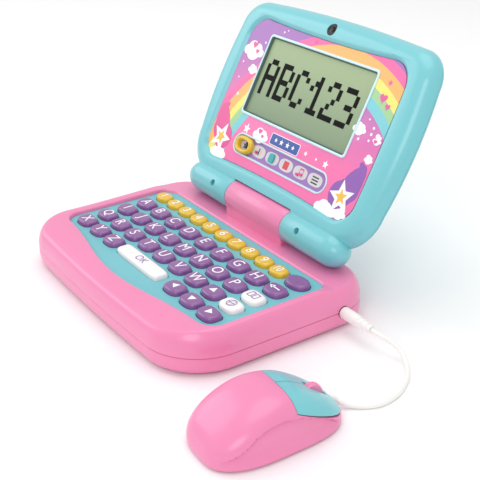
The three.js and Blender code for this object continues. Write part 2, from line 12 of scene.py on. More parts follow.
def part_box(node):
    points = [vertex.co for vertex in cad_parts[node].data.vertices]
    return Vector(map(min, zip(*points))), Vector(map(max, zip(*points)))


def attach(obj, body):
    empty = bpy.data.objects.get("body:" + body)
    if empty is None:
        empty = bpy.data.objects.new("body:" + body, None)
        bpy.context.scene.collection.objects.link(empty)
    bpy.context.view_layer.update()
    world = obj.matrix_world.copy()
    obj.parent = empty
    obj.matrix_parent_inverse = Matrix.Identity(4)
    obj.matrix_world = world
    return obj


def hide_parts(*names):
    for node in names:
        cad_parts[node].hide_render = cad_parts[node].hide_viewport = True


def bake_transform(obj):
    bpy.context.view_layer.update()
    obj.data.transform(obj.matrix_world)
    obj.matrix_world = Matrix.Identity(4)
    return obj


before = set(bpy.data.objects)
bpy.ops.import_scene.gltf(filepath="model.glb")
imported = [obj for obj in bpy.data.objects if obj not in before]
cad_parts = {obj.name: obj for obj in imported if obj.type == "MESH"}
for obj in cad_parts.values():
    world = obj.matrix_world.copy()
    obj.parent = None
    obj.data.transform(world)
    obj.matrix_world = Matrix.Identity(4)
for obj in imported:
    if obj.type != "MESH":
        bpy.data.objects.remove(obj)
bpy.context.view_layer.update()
bpy.ops.object.select_all(action="DESELECT")

# ---- Places --------------------------------------------------------------------------------------
HINGE = Vector((0, 51.8, 42.3))
LID_LEAN = math.radians(61)
MOUSE_CENTRE = Vector((177.2, -70.3, 0))
MOUSE_YAW = math.radians(-4)

pin_low, pin_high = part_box("hinge_pin")
ALONG_X = Matrix.Rotation(math.pi / 2, 4, "Y")
ALONG_Y = Matrix.Rotation(math.pi / 2, 4, "X")
CASE = Matrix.Translation((pin_low + pin_high) / 2 - HINGE * 0.001) @ Matrix.Scale(0.001, 4)
LID = CASE @ Matrix.Translation(HINGE) @ Matrix.Rotation(LID_LEAN, 4, "X")
MOUSE = CASE @ Matrix.Translation(MOUSE_CENTRE) @ Matrix.Rotation(MOUSE_YAW, 4, "Z")

# ---- Driving sizes, in millimetres ---------------------------------------------------------------
PARTING_Z = 14
CASE_TOP = 32
DECK_Z = 29.3
BEZEL_TOP = 28
KEY_TOP = 31.6
NUMBER_FIRST, NUMBER_PITCH, NUMBER_Y = -90.6, 17.55, 17.9
RIM_INSET, RIM_DROP, LIP_WIDTH, BLEND = 11.0, 16.5, 4.5, 0.7
RIM_RING = 4.2
BARREL_R, BARREL_HALF, BARREL_END = 12.2, 35.9, 97.5
LID_CREST, LID_PARTING, LID_BACK = 7.8, -4.0, -8.6
PANEL_Z = 5.7
MODE_Y, MODE_PITCH = 37.4, 17.5
SCREEN_HALF, SCREEN_LOW, SCREEN_HIGH = 64.2, 59.4, 124.2
CAMERA_X, CAMERA_Y = 1.2, 140.3
PLUG_Y, PLUG_Z, PLUG_X, PLUG_L = 35.8, 14, 116.4, 28
SOCKET_R = 4.35
SCREW_X, SCREW_R = 55, 2.5
BARREL_START, BARREL_DOME = 36.2, 16
CORD_D = 3.2


# ---- Modelling helpers ---------------------------------------------------------------------------
def add(primitive, name, **size):
    """One primitive, added with nothing else selected."""
    bpy.ops.object.select_all(action="DESELECT")
    primitive(**size)
    piece = bpy.context.object
    piece.name = name
    return piece


def pick(*pieces):
    """Selects these pieces and makes the first one active."""
    bpy.ops.object.select_all(action="DESELECT")
    for piece in pieces:
        piece.select_set(True)
    bpy.context.view_layer.objects.active = pieces[0]


def fix_place(piece):
    """Moves a piece's place into its mesh, so that its object sits at the origin."""
    pick(piece)
    bpy.ops.object.transform_apply(location=True, rotation=True, scale=True)


def edit(piece, *steps):
    """Runs edit-mode steps on the whole of a piece."""
    pick(piece)
    bpy.ops.object.mode_set(mode="EDIT")
    bpy.ops.mesh.select_all(action="SELECT")
    for step in steps:
        step()
    bpy.ops.object.mode_set(mode="OBJECT")


def skin(name, rings):
    """A grid wrapped through rings of points; a ring drawn in to one point closes an end."""
    count = len(rings[0])
    piece = add(
        bpy.ops.mesh.primitive_grid_add, name, x_subdivisions=count, y_subdivisions=len(rings) - 1, size=1
    )
    points = [p for ring in rings for p in list(ring) + [ring[0]]]
    for vertex, point in zip(piece.data.vertices, points):
        vertex.co = point
    edit(
        piece,
        lambda: bpy.ops.mesh.remove_doubles(threshold=0.002),
        lambda: bpy.ops.mesh.normals_make_consistent(inside=False),
    )
    return piece


def to_point(ring):
    """The ring drawn in to its middle."""
    middle = sum((Vector(p) for p in ring), Vector()) / len(ring)
    return [middle] * len(ring)


def shrink(ring, share):
    """The ring drawn in towards its middle."""
    middle = sum((Vector(p) for p in ring), Vector()) / len(ring)
    return [middle.lerp(Vector(p), share) for p in ring]


def level(outline, z):
    return [Vector((x, y, z)) for x, y in outline]


def slab(name, outline, low, high):
    """A flat plate with square edges."""
    bottom, top = level(outline, low), level(outline, high)
    return skin(name, [to_point(bottom), bottom, top, to_point(top)])


def prism_x(name, outline, low, high):
    """A bar whose (y, z) outline runs from one x to another."""
    ends = [[Vector((x, y, z)) for y, z in outline] for x in (low, high)]
    return skin(name, [to_point(ends[0]), ends[0], ends[1], to_point(ends[1])])


def boolean(piece, tool, operation, keep_tool=False):
    """Cuts, joins or intersects a piece with a tool and applies it."""
    pick(piece)
    modifier = piece.modifiers.new(operation.title(), "BOOLEAN")
    modifier.operation = operation
    modifier.object = tool
    modifier.solver = "EXACT"
    bpy.ops.object.modifier_apply(modifier=modifier.name)
    if not keep_tool:
        bpy.data.objects.remove(tool)
    return piece


def drill(name, radius, depth, place, vertices=40):
    """A cylinder along the place's own Z, to cut with."""
    tool = add(bpy.ops.mesh.primitive_cylinder_add, name, vertices=vertices, radius=radius, depth=depth)
    tool.matrix_world = place
    return tool


def copy_of(piece, name):
    twin = piece.copy()
    twin.data = piece.data.copy()
    twin.name = name
    bpy.context.collection.objects.link(twin)
    return twin


def merge(name, pieces):
    pick(*pieces)
    bpy.ops.object.join()
    whole = bpy.context.object
    whole.name = name
    return whole


def settle(piece, place, body, finish, replaces=(), angle=35):
    """Puts a piece in the row frame, on its body, with its finish."""
    piece.matrix_world = place @ piece.matrix_world
    fix_place(piece)
    bpy.ops.object.shade_smooth_by_angle(angle=math.radians(angle))
    piece.data.materials.clear()
    piece.data.materials.append(finish)
    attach(piece, body)
    if replaces:
        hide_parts(*replaces)
    return piece


# ---- Outlines ------------------------------------------------------------------------------------
def arc(cx, cy, rx, ry, start, end, count):
    """Points on an elliptical arc, the last one left out."""
    angles = [math.radians(start + (end - start) * i / count) for i in range(count)]
    return [(cx + rx * math.cos(a), cy + ry * math.sin(a)) for a in angles]


def bezier(points, count):
    """Points on a curve with one or two control points, the last one left out."""
    curve = []
    for i in range(count):
        row = [Vector(p) for p in points]
        while len(row) > 1:
            row = [a.lerp(b, i / count) for a, b in zip(row, row[1:])]
        curve.append(tuple(row[0]))
    return curve


def inset(outline, amount):
    """The outline drawn in, or out where the amount is negative."""
    moved = []
    count = len(outline)
    for i, (x, y) in enumerate(outline):
        ahead, behind = Vector(outline[(i + 1) % count]), Vector(outline[i - 1])
        run = (ahead - behind).normalized()
        moved.append((x - run.y * amount, y + run.x * amount))
    return moved


def between(a, b, share):
    return [(p[0] + (q[0] - p[0]) * share, p[1] + (q[1] - p[1]) * share) for p, q in zip(a, b)]


def rounded(x0, x1, y0, y1, r, corner=8, side=2):
    """A rectangle with round corners."""
    return (
        bezier([(x0 + r, y0), (x1 - r, y0)], side)
        + arc(x1 - r, y0 + r, r, r, -90, 0, corner)
        + bezier([(x1, y0 + r), (x1, y1 - r)], side)
        + arc(x1 - r, y1 - r, r, r, 0, 90, corner)
        + bezier([(x1 - r, y1), (x0 + r, y1)], side)
        + arc(x0 + r, y1 - r, r, r, 90, 180, corner)
        + bezier([(x0, y1 - r), (x0, y0 + r)], side)
        + arc(x0 + r, y0 + r, r, r, 180, 270, corner)
    )


def oval(cx, cy, half_x, half_y, power=2.0, count=40, bow=0.0):
    """A superellipse; bow pushes its front edge out in the middle."""
    points = []
    for i in range(count):
        a = 2 * math.pi * (i + 0.5) / count
        x = math.copysign(abs(math.cos(a)) ** (2 / power), math.cos(a))
        y = math.copysign(abs(math.sin(a)) ** (2 / power), math.sin(a))
        y -= bow * (1 - x * x) * max(0.0, -y)
        points.append((cx + half_x * x, cy + half_y * y))
    return points


def case_outline():
    """The case from above: a bowed front, wide front corners and rounder rear ones."""
    return (
        bezier([(-85.5, -92), (0, -95.6), (74, -92)], 28)
        + arc(74, -50, 42, 42, -90, 0, 20)
        + bezier([(116, -50), (116, 35.5)], 16)
        + arc(86, 35.5, 30, 30, 0, 90, 20)
        + bezier([(86, 65.5), (-89.5, 65.5)], 28)
        + arc(-89.5, 35.5, 30, 30, 90, 180, 20)
        + bezier([(-119.5, 35.5), (-119.5, -58)], 16)
        + arc(-85.5, -58, 34, 34, 180, 270, 20)
    )


def well_outline():
    """The keyboard well: straight at the back, with a wave in front that dips towards the user."""
    return (
        bezier([(-93, -63), (-55, -65), (-35, -75), (0, -75)], 14)
        + bezier([(0, -75), (35, -75), (55, -65), (93, -63)], 14)
        + arc(93, -51, 12, 12, -90, 0, 20)
        + bezier([(105, -51), (105, 21.5)], 16)
        + arc(95, 21.5, 10, 10, 0, 90, 20)
        + bezier([(95, 31.5), (-91, 31.5)], 28)
        + arc(-91, 17.5, 14, 14, 90, 180, 20)
        + bezier([(-105, 17.5), (-105, -51)], 16)
        + arc(-93, -51, 12, 12, 180, 270, 20)
    )


def lid_outline():
    """The lid from the front: bowed sides, an arched top and large round corners."""
    return (
        bezier([(-76.9, 1), (76.9, 1)], 28)
        + arc(76.9, 34.5, 33.5, 33.5, -90, 0, 20)
        + bezier([(110.4, 34.5), (117, 79.6), (110.4, 124.8)], 20)
        + arc(87.4, 124.8, 23, 23, 0, 90, 20)
        + bezier([(87.4, 147.8), (0, 153.4), (-87.4, 147.8)], 28)
        + arc(-87.4, 124.8, 23, 23, 90, 180, 20)
        + bezier([(-110.4, 124.8), (-117, 79.6), (-110.4, 34.5)], 20)
        + arc(-76.9, 34.5, 33.5, 33.5, 180, 270, 20)
    )


def panel_outline():
    """The printed panel, drawn in a little at the middle of its top and bottom."""
    return (
        bezier([(-76, 19.6), (0, 24.4), (76, 19.6)], 28)
        + arc(76, 35, 15.2, 15.4, -90, 0, 20)
        + bezier([(91.2, 35), (92.4, 76), (90.6, 116)], 20)
        + arc(74, 116, 16.6, 17.8, 0, 90, 20)
        + bezier([(74, 133.8), (0, 129.6), (-74, 133.8)], 28)
        + arc(-74, 116, 16.6, 17.8, 90, 180, 20)
        + bezier([(-90.6, 116), (-92.4, 76), (-91.2, 35)], 20)
        + arc(-76, 35, 15.2, 15.4, 180, 270, 20)
    )


# ---- Finishes ------------------------------------------------------------------------------------
def linear(colour):
    """An sRGB hex colour as linear red, green, blue and alpha."""
    parts = [int(colour[i : i + 2], 16) / 255 for i in (1, 3, 5)]
    return [c / 12.92 if c <= 0.04045 else ((c + 0.055) / 1.055) ** 2.4 for c in parts] + [1.0]


# The Mix node lists its colour sockets after the plain and the vector ones.
MIX_A, MIX_B, MIX_RESULT = 6, 7, 2


def add_node(tree, kind, inputs=(), **settings):
    """One node with its settings; an input is given a value or another node's socket."""
    node = tree.nodes.new(kind)
    for name, value in settings.items():
        setattr(node, name, value)
    for name, value in dict(inputs).items():
        if isinstance(value, bpy.types.NodeSocket):
            tree.links.new(value, node.inputs[name])
        else:
            node.inputs[name].default_value = value
    return node


def finish_with(name, **sockets):
    """A material with its shader and the piece's own coordinates."""
    material = bpy.data.materials.new(name)
    material.use_nodes = True
    tree = material.node_tree
    shader = tree.nodes["Principled BSDF"]
    for socket, value in sockets.items():
        shader.inputs[socket.replace("_", " ")].default_value = value
    place = add_node(tree, "ShaderNodeTexCoord").outputs["Object"]
    return material, tree, shader, place


RIPPLE_MM, RIPPLE_DEPTH = 0.9, 0.00001
FLOW_MARK_MM = 45


def moulded(name, colour, roughness, coat=0.0, flow=0.03, specular=0.5):
    """Injection-moulded plastic: an even colour with slight flow marks and a faint skin texture."""
    material, tree, shader, place = finish_with(
        name,
        Roughness=roughness,
        IOR=1.53,
        Specular_IOR_Level=specular,
        Coat_Weight=coat,
        Coat_Roughness=0.08,
    )
    # Flow marks: soft clouds of shade a few centimetres across.
    clouds = add_node(tree, "ShaderNodeTexNoise", {"Vector": place, "Scale": 1000 / FLOW_MARK_MM, "Detail": 3})
    shade = add_node(
        tree,
        "ShaderNodeMix",
        {
            "Factor": clouds.outputs["Fac"],
            MIX_A: [c * (1 - flow) for c in linear(colour)[:3]] + [1],
            MIX_B: [min(1, c * (1 + flow)) for c in linear(colour)[:3]] + [1],
        },
        data_type="RGBA",
    )
    tree.links.new(shade.outputs[MIX_RESULT], shader.inputs["Base Color"])
    # The tool's polish leaves a ripple under a millimetre wide.
    ripple = add_node(tree, "ShaderNodeTexNoise", {"Vector": place, "Scale": 1000 / RIPPLE_MM, "Detail": 2})
    bump = add_node(
        tree,
        "ShaderNodeBump",
        {"Height": ripple.outputs["Fac"], "Distance": RIPPLE_DEPTH, "Strength": 0.6},
    )
    tree.links.new(bump.outputs["Normal"], shader.inputs["Normal"])
    return material


# Case, lid and mouse: polished tools give broad soft highlights.
PINK_ABS = moulded("Pink ABS, moulded and polished", "#EC86B2", 0.3, coat=0.25)
TURQUOISE_ABS = moulded("Turquoise ABS, moulded and polished", "#77C6CE", 0.28, coat=0.25)
# The beads round the screen and the mode pocket are turquoise plastic; their pale colour is a painted highlight.
PALE_HIGHLIGHT_ABS = moulded("Turquoise ABS bead, painted pale highlight", "#CDEBF0", 0.25, coat=0.3)
# The plate between the keys is duller, so it stays quiet behind them.
BEZEL_ABS = moulded("Turquoise ABS bezel, satin", "#73BEC7", 0.42)
# Keycaps are the glossiest plastic here, with a small bright spot on each.
PURPLE_KEY = moulded("Purple ABS keycap, polished", "#855394", 0.24, coat=0.5)
YELLOW_KEY = moulded("Yellow ABS, polished", "#E4BA24", 0.24, coat=0.5)
WHITE_KEY = moulded("White ABS keycap, polished", "#F4F1F0", 0.26, coat=0.4, flow=0.01)
# Pad-printed ink is matt against the caps.
WHITE_PRINT = moulded("White pad-printed ink", "#FBF7FD", 0.5, flow=0.01)
PURPLE_PRINT = moulded("Purple pad-printed ink", "#8A5AA3", 0.5, flow=0.01)
# Dark parts: low reflection keeps them black under an even white light.
BLACK_GLASS = moulded("Black acrylic lens", "#08080A", 0.12, coat=0.1, specular=0.25)
LCD_INK = moulded("Liquid crystal, dark segments", "#0A0B0A", 0.5, specular=0.1)
# The wall round the display is painted dark grey, standing in for the shadow inside the screen's recess.
RECESS_SHADE_ABS = moulded("Dark grey wall round the display, painted recess shade", "#4E6A66", 0.5)
BLACK_ABS = moulded("Black ABS, matt", "#141416", 0.5)
# Soft vinyl has a wide dull sheen.
WHITE_PVC = moulded("White PVC, soft moulded", "#F3F2EF", 0.42, flow=0.01)
GREY_PRINT = moulded("Pale grey printed spot", "#D5D2D4", 0.45, flow=0.01)


def printed(name, colour):
    """Flat ink under the panel's varnish."""
    return moulded(name, colour, 0.3, coat=0.3, flow=0.015)


INK = {
    key: printed(f"Printed ink, {key}", colour)
    for key, colour in {
        "white": "#FBF8FC",
        "rose": "#E04C94",
        "red": "#D8434E",
        "violet": "#8E58B0",
        "teal": "#37A6AE",
        "blue": "#1F4F9E",
        "strip": "#9B72B6",
        "black": "#2B2A2E",
        "gold": "#F0BE4A",
    }.items()
}


# The rainbow, in millimetres in the panel's plane: its centre, and where each band starts.
ARCH_CENTRE = (30, 5.6, 0)
ARCH_BANDS = ((98.2, "#74C8D2"), (105.6, "#9DCB92"), (112, "#FBE36C"), (118.5, "#FBB25E"), (127, "#EE5FA2"))
ARCH_OUTER = 134
RAMP_START, RAMP_SPAN = 90, 50
SKY_LOW, SKY_HIGH = 52, 112


def panel_finish():
    """The picture: a rainbow over a violet sky that turns pink lower down, under a clear varnish."""
    material, tree, shader, place = finish_with(
        "Printed and varnished panel", Roughness=0.28, Coat_Weight=0.3
    )
    # Turned into the panel's own plane, in millimetres from the hinge.
    turned = add_node(
        tree,
        "ShaderNodeMapping",
        {
            "Vector": place,
            "Location": LID.inverted().to_translation(),
            "Rotation": LID.inverted().to_euler(),
            "Scale": (1000, 1000, 1000),
        },
        vector_type="POINT",
    )
    split = add_node(tree, "ShaderNodeSeparateXYZ", {"Vector": turned.outputs["Vector"]})
    sky = add_node(
        tree, "ShaderNodeMapRange", {"Value": split.outputs["Y"], "From Min": SKY_LOW, "From Max": SKY_HIGH}
    )
    sky_ramp = add_node(tree, "ShaderNodeValToRGB", {"Fac": sky.outputs["Result"]})
    sky_ramp.color_ramp.elements[0].color = linear("#F272AC")
    sky_ramp.color_ramp.elements[1].color = linear("#A368B6")
    # Rainbow bands are rings about one point below the screen.
    flat = add_node(tree, "ShaderNodeCombineXYZ", {"X": split.outputs["X"], "Y": split.outputs["Y"]})
    reach = add_node(
        tree, "ShaderNodeVectorMath", {0: flat.outputs["Vector"], 1: ARCH_CENTRE}, operation="DISTANCE"
    )
    band = add_node(
        tree,
        "ShaderNodeMapRange",
        {"Value": reach.outputs["Value"], "From Min": RAMP_START, "From Max": RAMP_START + RAMP_SPAN},
    )
    bands = add_node(tree, "ShaderNodeValToRGB", {"Fac": band.outputs["Result"]})
    ramp = bands.color_ramp
    ramp.interpolation = "CONSTANT"
    ramp.elements[0].color = linear("#000000")
    ramp.elements[1].position = (ARCH_OUTER - RAMP_START) / RAMP_SPAN
    ramp.elements[1].color = linear("#000000")
    for radius, colour in ARCH_BANDS:
        ramp.elements.new((radius - RAMP_START) / RAMP_SPAN).color = linear(colour)
    limits = ((ARCH_BANDS[0][0], "GREATER_THAN"), (ARCH_OUTER, "LESS_THAN"))
    inside, outside = [
        add_node(tree, "ShaderNodeMath", {0: reach.outputs["Value"], 1: limit}, operation=test).outputs["Value"]
        for limit, test in limits
    ]
    arch = add_node(tree, "ShaderNodeMath", {0: inside, 1: outside}, operation="MULTIPLY")
    picture = add_node(
        tree,
        "ShaderNodeMix",
        {"Factor": arch.outputs["Value"], MIX_A: sky_ramp.outputs["Color"], MIX_B: bands.outputs["Color"]},
        data_type="RGBA",
    )
    tree.links.new(picture.outputs[MIX_RESULT], shader.inputs["Base Color"])
    return material


def display_finish():
    """A reflective liquid crystal: grey-green, with painted shading that makes it lighter towards the top and
    darker lower down.
    """
    material, tree, shader, place = finish_with("Liquid crystal panel", Roughness=0.4, Coat_Weight=0.1)
    split = add_node(tree, "ShaderNodeSeparateXYZ", {"Vector": place})
    # Painted light: the colour runs from darker at the screen's foot to lighter at its top.
    low, high = (LID @ Vector((0, SCREEN_LOW, 4))).z, (LID @ Vector((0, SCREEN_HIGH, 4))).z
    rise = add_node(
        tree, "ShaderNodeMapRange", {"Value": split.outputs["Z"], "From Min": low, "From Max": high}
    )
    ramp = add_node(tree, "ShaderNodeValToRGB", {"Fac": rise.outputs["Result"]})
    ramp.color_ramp.elements[0].color = linear("#7C9274")
    ramp.color_ramp.elements[1].color = linear("#A3B78B")
    tree.links.new(ramp.outputs["Color"], shader.inputs["Base Color"])
    return material


PANEL_PRINT = panel_finish()
DISPLAY = display_finish()

# ---- Case ----------------------------------------------------------------------------------------
OUTER = case_outline()
WELL = well_outline()


def ease(value, low, high):
    """0 below low, 1 above high and a smooth turn between."""
    t = min(1.0, max(0.0, (value - low) / (high - low)))
    return t * t * (3 - 2 * t)


def front_slope(y):
    """Height of the long slope that runs down to the front edge."""
    t = min(1.0, max(0.0, (-60 - y) / 38))
    t = math.sqrt(t) if t < 0.001 else (-60 + math.sqrt(3600 + 88 * (-60 - y))) / 44 if t < 1 else 1.0
    t = min(1.0, max(0.0, t))
    return (1 - t) ** 2 * 32.1 + 2 * t * (1 - t) * 31 + t * t * 11


def case_height(y, edge, lip=99.0):
    """Height of the top case, given the distances in from its outline and out from the well."""
    reach = 1 - min(edge, RIM_INSET) / RIM_INSET
    shoulder = CASE_TOP - RIM_DROP + RIM_DROP * math.sqrt(max(0.0, 1 - reach**2.1))
    deck = CASE_TOP + 0.1 - (CASE_TOP - DECK_Z) * ease(y, 19, 33)
    turn = 1 - min(lip, LIP_WIDTH) / LIP_WIDTH
    roll = BEZEL_TOP + 0.5 + (CASE_TOP - BEZEL_TOP - 0.3) * math.sqrt(max(0.0, 1 - turn**2))
    heights = (shoulder, front_slope(y), deck, roll)
    least = min(heights)
    # Where two of these surfaces meet, the corner is rounded over.
    return least - BLEND * math.log(sum(math.exp((least - h) / BLEND) for h in heights))


def top_case():
    """Rings from the parting line over the rim and into the well, then back underneath."""
    rings = [level(inset(OUTER, 0.25), PARTING_Z + 0.25)]
    rings.append([Vector((x, y, PARTING_Z + 0.5)) for x, y in OUTER])
    rings.append([Vector((x, y, min(case_height(y, 0.01), 16))) for x, y in OUTER])
    for edge in (0.12, 0.4, 0.8, 1.4, 2.1, 3.0, RIM_RING):
        rings.append([Vector((x, y, case_height(y, edge))) for x, y in inset(OUTER, edge)])
    rim = inset(OUTER, RIM_RING)
    for step in range(1, 27):
        share = step / 26
        ring = []
        for (x, y), (far_x, far_y) in zip(between(rim, WELL, share), WELL):
            lip = math.hypot(x - far_x, y - far_y)
            total = lip / max(1 - share, 0.001)
            edge = RIM_RING + total * share if step < 26 else RIM_INSET + 1
            ring.append(Vector((x, y, case_height(y, edge, lip))))
        rings.append(ring)
    rings.append(level(inset(WELL, 0.05), BEZEL_TOP - 0.4))
    rings.append(level(WELL, 25.6))
    rings.append(level(inset(OUTER, 4), 21))
    rings.append(level(inset(OUTER, 3), PARTING_Z + 0.25))
    rings.append(rings[0])
    return skin("top_case_shell", rings)


top = top_case()
socket = drill("socket_hole", SOCKET_R, 20, Matrix.Translation((114, PLUG_Y, PLUG_Z)) @ ALONG_X)
boolean(top, socket, "DIFFERENCE", keep_tool=True)
settle(top, CASE, "base", PINK_ABS, ["top_case"])


def middle_barrel():
    """The case's own barrel: round on top, dropping straight to the deck."""
    flat = 10.7
    start = math.degrees(math.acos(flat / BARREL_R))
    section = arc(HINGE.y, HINGE.z, BARREL_R, BARREL_R, -start, 180 + start, 40)
    section += [(HINGE.y - flat, 34), (HINGE.y - flat, 26), (HINGE.y + flat, 26), (HINGE.y + flat, 34)]
    rings = []
    for x, out in ((0, 0.9), (0.3, 0.3), (0.9, 0.0)):
        rings.append([(x - BARREL_HALF, p) for p in inset(section, out)])
    rings += [[(-x, p) for x, p in ring] for ring in reversed(rings)]
    rings = [[Vector((x, p[0], p[1])) for x, p in ring] for ring in rings]
    return skin("middle_barrel", [to_point(rings[0])] + rings + [to_point(rings[-1])])


settle(middle_barrel(), CASE, "base", PINK_ABS)


def bottom_case():
    """A shallow tray on four feet, with the battery opening and the speaker's slots."""
    rings = []
    side = ((0.5, 13.9), (0.1, 13.6), (0, 13.2), (0, 9))
    turn_under = ((0.14, 7.1), (0.54, 5.3), (1.2, 3.8), (2.3, 2.6), (3.8, 1.85), (5.4, 1.55), (7, 1.5), (12, 1.5))
    for edge, z in side + turn_under:
        rings.append(level(inset(OUTER, edge), z))
    tray = skin("bottom_case_shell", [to_point(rings[0])] + rings + [to_point(rings[-1])])
    door = add(
        bpy.ops.mesh.primitive_cube_add, "door_opening", size=1, location=(-20, 23, 4), scale=(84, 46, 7)
    )
    boolean(tray, door, "DIFFERENCE")
    for i in range(-2, 3):
        slot = slab("speaker_slot", rounded(60.8 + i * 6, 63.2 + i * 6, -41, -19, 1.1, 4), 0, 6)
        boolean(tray, slot, "DIFFERENCE")
    feet = [
        add(bpy.ops.mesh.primitive_cylinder_add, "foot", vertices=40, radius=6, depth=2, location=(x, y, 1.0))
        for x in (-84, 84)
        for y in (-66, 42)
    ]
    return merge("bottom_case_shell", [tray] + feet)


bottom = bottom_case()
boolean(bottom, socket, "DIFFERENCE")
settle(bottom, CASE, "base", PINK_ABS, ["bottom_case"])

# ---- Keys ----------------------------------------------------------------------------------------
KEY_SHAPES = {
    "letter": dict(half_x=9.1, half_y=6.4, power=3.3, bow=0.12),
    "number": dict(half_x=8.1, half_y=5.9, power=2.6, bow=0.05),
    "bar": dict(half_x=29, half_y=6.1, power=8.0, bow=0.06),
    "round": dict(half_x=10.5, half_y=7.25, power=2.1, bow=0.0),
}


def key_outline(shape, x=0.0, y=0.0, grow=0.0):
    size = dict(KEY_SHAPES[shape])
    size["half_x"] += grow
    size["half_y"] += grow
    return oval(x, y, count=56, **size)


def keycap(shape):
    """A cap with upright sides and a pillowed top that is lowest at the front."""
    rings = [level(key_outline(shape, grow=-0.1), 25)]
    for grow, z in ((0, 26), (-0.1, 29.4), (-0.3, 30.2), (-0.65, 30.85), (-1.2, 31.3), (-1.9, 31.52)):
        rings.append(level(key_outline(shape, grow=grow), z))
    rings += [level(key_outline(shape, grow=-2.7), KEY_TOP)]
    return skin(f"{shape}_cap", [to_point(rings[0])] + rings + [to_point(rings[-1])])


def middle_of(node):
    low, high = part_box(node)
    return CASE.inverted() @ ((low + high) / 2)


CAPS = {shape: keycap(shape) for shape in KEY_SHAPES}
SHAPE_OF = {"key_enter": "bar", "key_round": "round"}
WHITE_CAPS = ("key_enter", "key_book", "key_language")
key_nodes = sorted(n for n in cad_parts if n.startswith("key_") and n != "key_membrane")
cutters = []


def place_cap(name, shape, x, y, body, finish, replaces=()):
    cap = copy_of(CAPS[shape], name)
    cap.matrix_world = Matrix.Translation((x, y, 0))
    settle(cap, CASE, body, finish, replaces, angle=50)
    cutters.append(slab("key_hole", key_outline(shape, x, y, 0.4), 20, 40))


KEY_PLACES = {}
for node in key_nodes:
    middle = middle_of(node)
    KEY_PLACES[node] = (middle.x, middle.y)
    white = node in WHITE_CAPS
    place_cap(
        f"{node}_cap",
        SHAPE_OF.get(node, "letter"),
        middle.x,
        middle.y,
        node,
        WHITE_KEY if white else PURPLE_KEY,
        [node],
    )
for i in range(10):
    place_cap(
        f"number_{i + 1}_cap",
        "number",
        NUMBER_FIRST + NUMBER_PITCH * i,
        NUMBER_Y,
        "number_key_strip",
        YELLOW_KEY,
        ["number_key_strip"] if i == 0 else (),
    )
for cap in CAPS.values():
    bpy.data.objects.remove(cap)

bezel = slab("bezel_plate", inset(WELL, 0.15), 26.2, BEZEL_TOP)
boolean(bezel, merge("key_holes", cutters), "DIFFERENCE")
settle(bezel, CASE, "base", BEZEL_ABS, ["keyboard_bezel"])


# ---- Legends -------------------------------------------------------------------------------------
# The ink is sunk into the cap, so that only its top 0.06 mm shows above the crown.
LEGEND_HALF = 0.25
LEGEND_Z = KEY_TOP - 0.19
LEGEND_LOW, LEGEND_HIGH = LEGEND_Z - LEGEND_HALF, LEGEND_Z + LEGEND_HALF


def lettering(text, size, x, y, z, stretch=1.0):
    """Ink that stands just proud of the cap, centred on a point."""
    word = add(bpy.ops.object.text_add, f"legend_{text}")
    word.data.body = text
    word.data.size = size
    word.data.extrude = LEGEND_HALF
    word.data.resolution_u = 4
    word.data.align_x = "CENTER"
    word.data.align_y = "CENTER"
    pick(word)
    bpy.ops.object.convert(target="MESH")
    word = bpy.context.object
    low = Vector([min(v.co[i] for v in word.data.vertices) for i in range(3)])
    high = Vector([max(v.co[i] for v in word.data.vertices) for i in range(3)])
    shift = (low + high) / 2
    for vertex in word.data.vertices:
        vertex.co = (
            (vertex.co.x - shift.x) * stretch + x,
            vertex.co.y - shift.y + y,
            vertex.co.z - shift.z + z,
        )
    return word


def triangle(x, y, turn, size, z):
    points = arc(x, y, size, size, 90 + turn, 450 + turn, 3)
    return slab("arrow_head", points, z - LEGEND_HALF, z + LEGEND_HALF)


for node, (x, y) in KEY_PLACES.items():
    letter = node[4:]
    if len(letter) == 1:
        sign = lettering(letter, 11.5, x, y, LEGEND_Z)
    elif node == "key_enter":
        sign = lettering("OK", 8.6, x, y, LEGEND_Z)
    elif letter in ("up", "left", "down", "right"):
        turn = {"up": 0, "left": 90, "down": 180, "right": 270}[letter]
        sign = triangle(x, y, turn, 3.4, LEGEND_Z)
    elif node == "key_erase":
        shaft = rounded(x - 4, x + 4.6, y - 0.55, y + 0.55, 0.3)
        shaft = slab("arrow_shaft", shaft, LEGEND_LOW, LEGEND_HIGH)
        sign = merge("legend_erase", [triangle(x - 3.4, y, 90, 2.6, LEGEND_Z), shaft])
    elif node == "key_book":
        pages = []
        for side in (-1, 1):
            leaf, hole = [
                [(side * px + x, py + y) for px, py in edge]
                for edge in (rounded(-4.6, -0.4, -3.1, 3.1, 0.6, 4), rounded(-3.9, -1.1, -2.4, 2.4, 0.3, 4))
            ]
            rings = [level(leaf, LEGEND_LOW), level(leaf, LEGEND_HIGH), level(hole, LEGEND_HIGH)]
            pages.append(skin("page", rings + [level(hole, LEGEND_LOW), rings[0]]))
        sign = merge("legend_book", pages)
    elif node == "key_language":
        hoops = [
            add(
                bpy.ops.mesh.primitive_torus_add,
                "globe_line",
                major_segments=40,
                minor_segments=6,
                major_radius=3.6,
                minor_radius=0.32,
                location=(x, y, LEGEND_Z + 0.1),
            )
            for _ in range(2)
        ]
        edit(hoops[1], lambda: bpy.ops.transform.resize(value=(0.45, 1, 1)))
        belt = rounded(x - 3.6, x + 3.6, y - 0.3, y + 0.3, 0.25)
        line = slab("globe_belt", belt, LEGEND_LOW, LEGEND_HIGH)
        sign = merge("legend_language", hoops + [line])
        fix_place(sign)
    else:
        continue
    sign.name = f"{node}_legend"
    purple = node in WHITE_CAPS
    ink, slot = (PURPLE_PRINT, "white_plastic") if purple else (WHITE_PRINT, "purple_plastic")
    settle(sign, CASE, node, ink)
for i in range(10):
    # The two digits of 10 are drawn narrower, to fit one cap.
    stretch = 0.8 if i == 9 else 1.15
    sign = lettering(str(i + 1), 9.6, NUMBER_FIRST + NUMBER_PITCH * i, NUMBER_Y, LEGEND_Z, stretch)
    settle(sign, CASE, "number_key_strip", WHITE_PRINT)

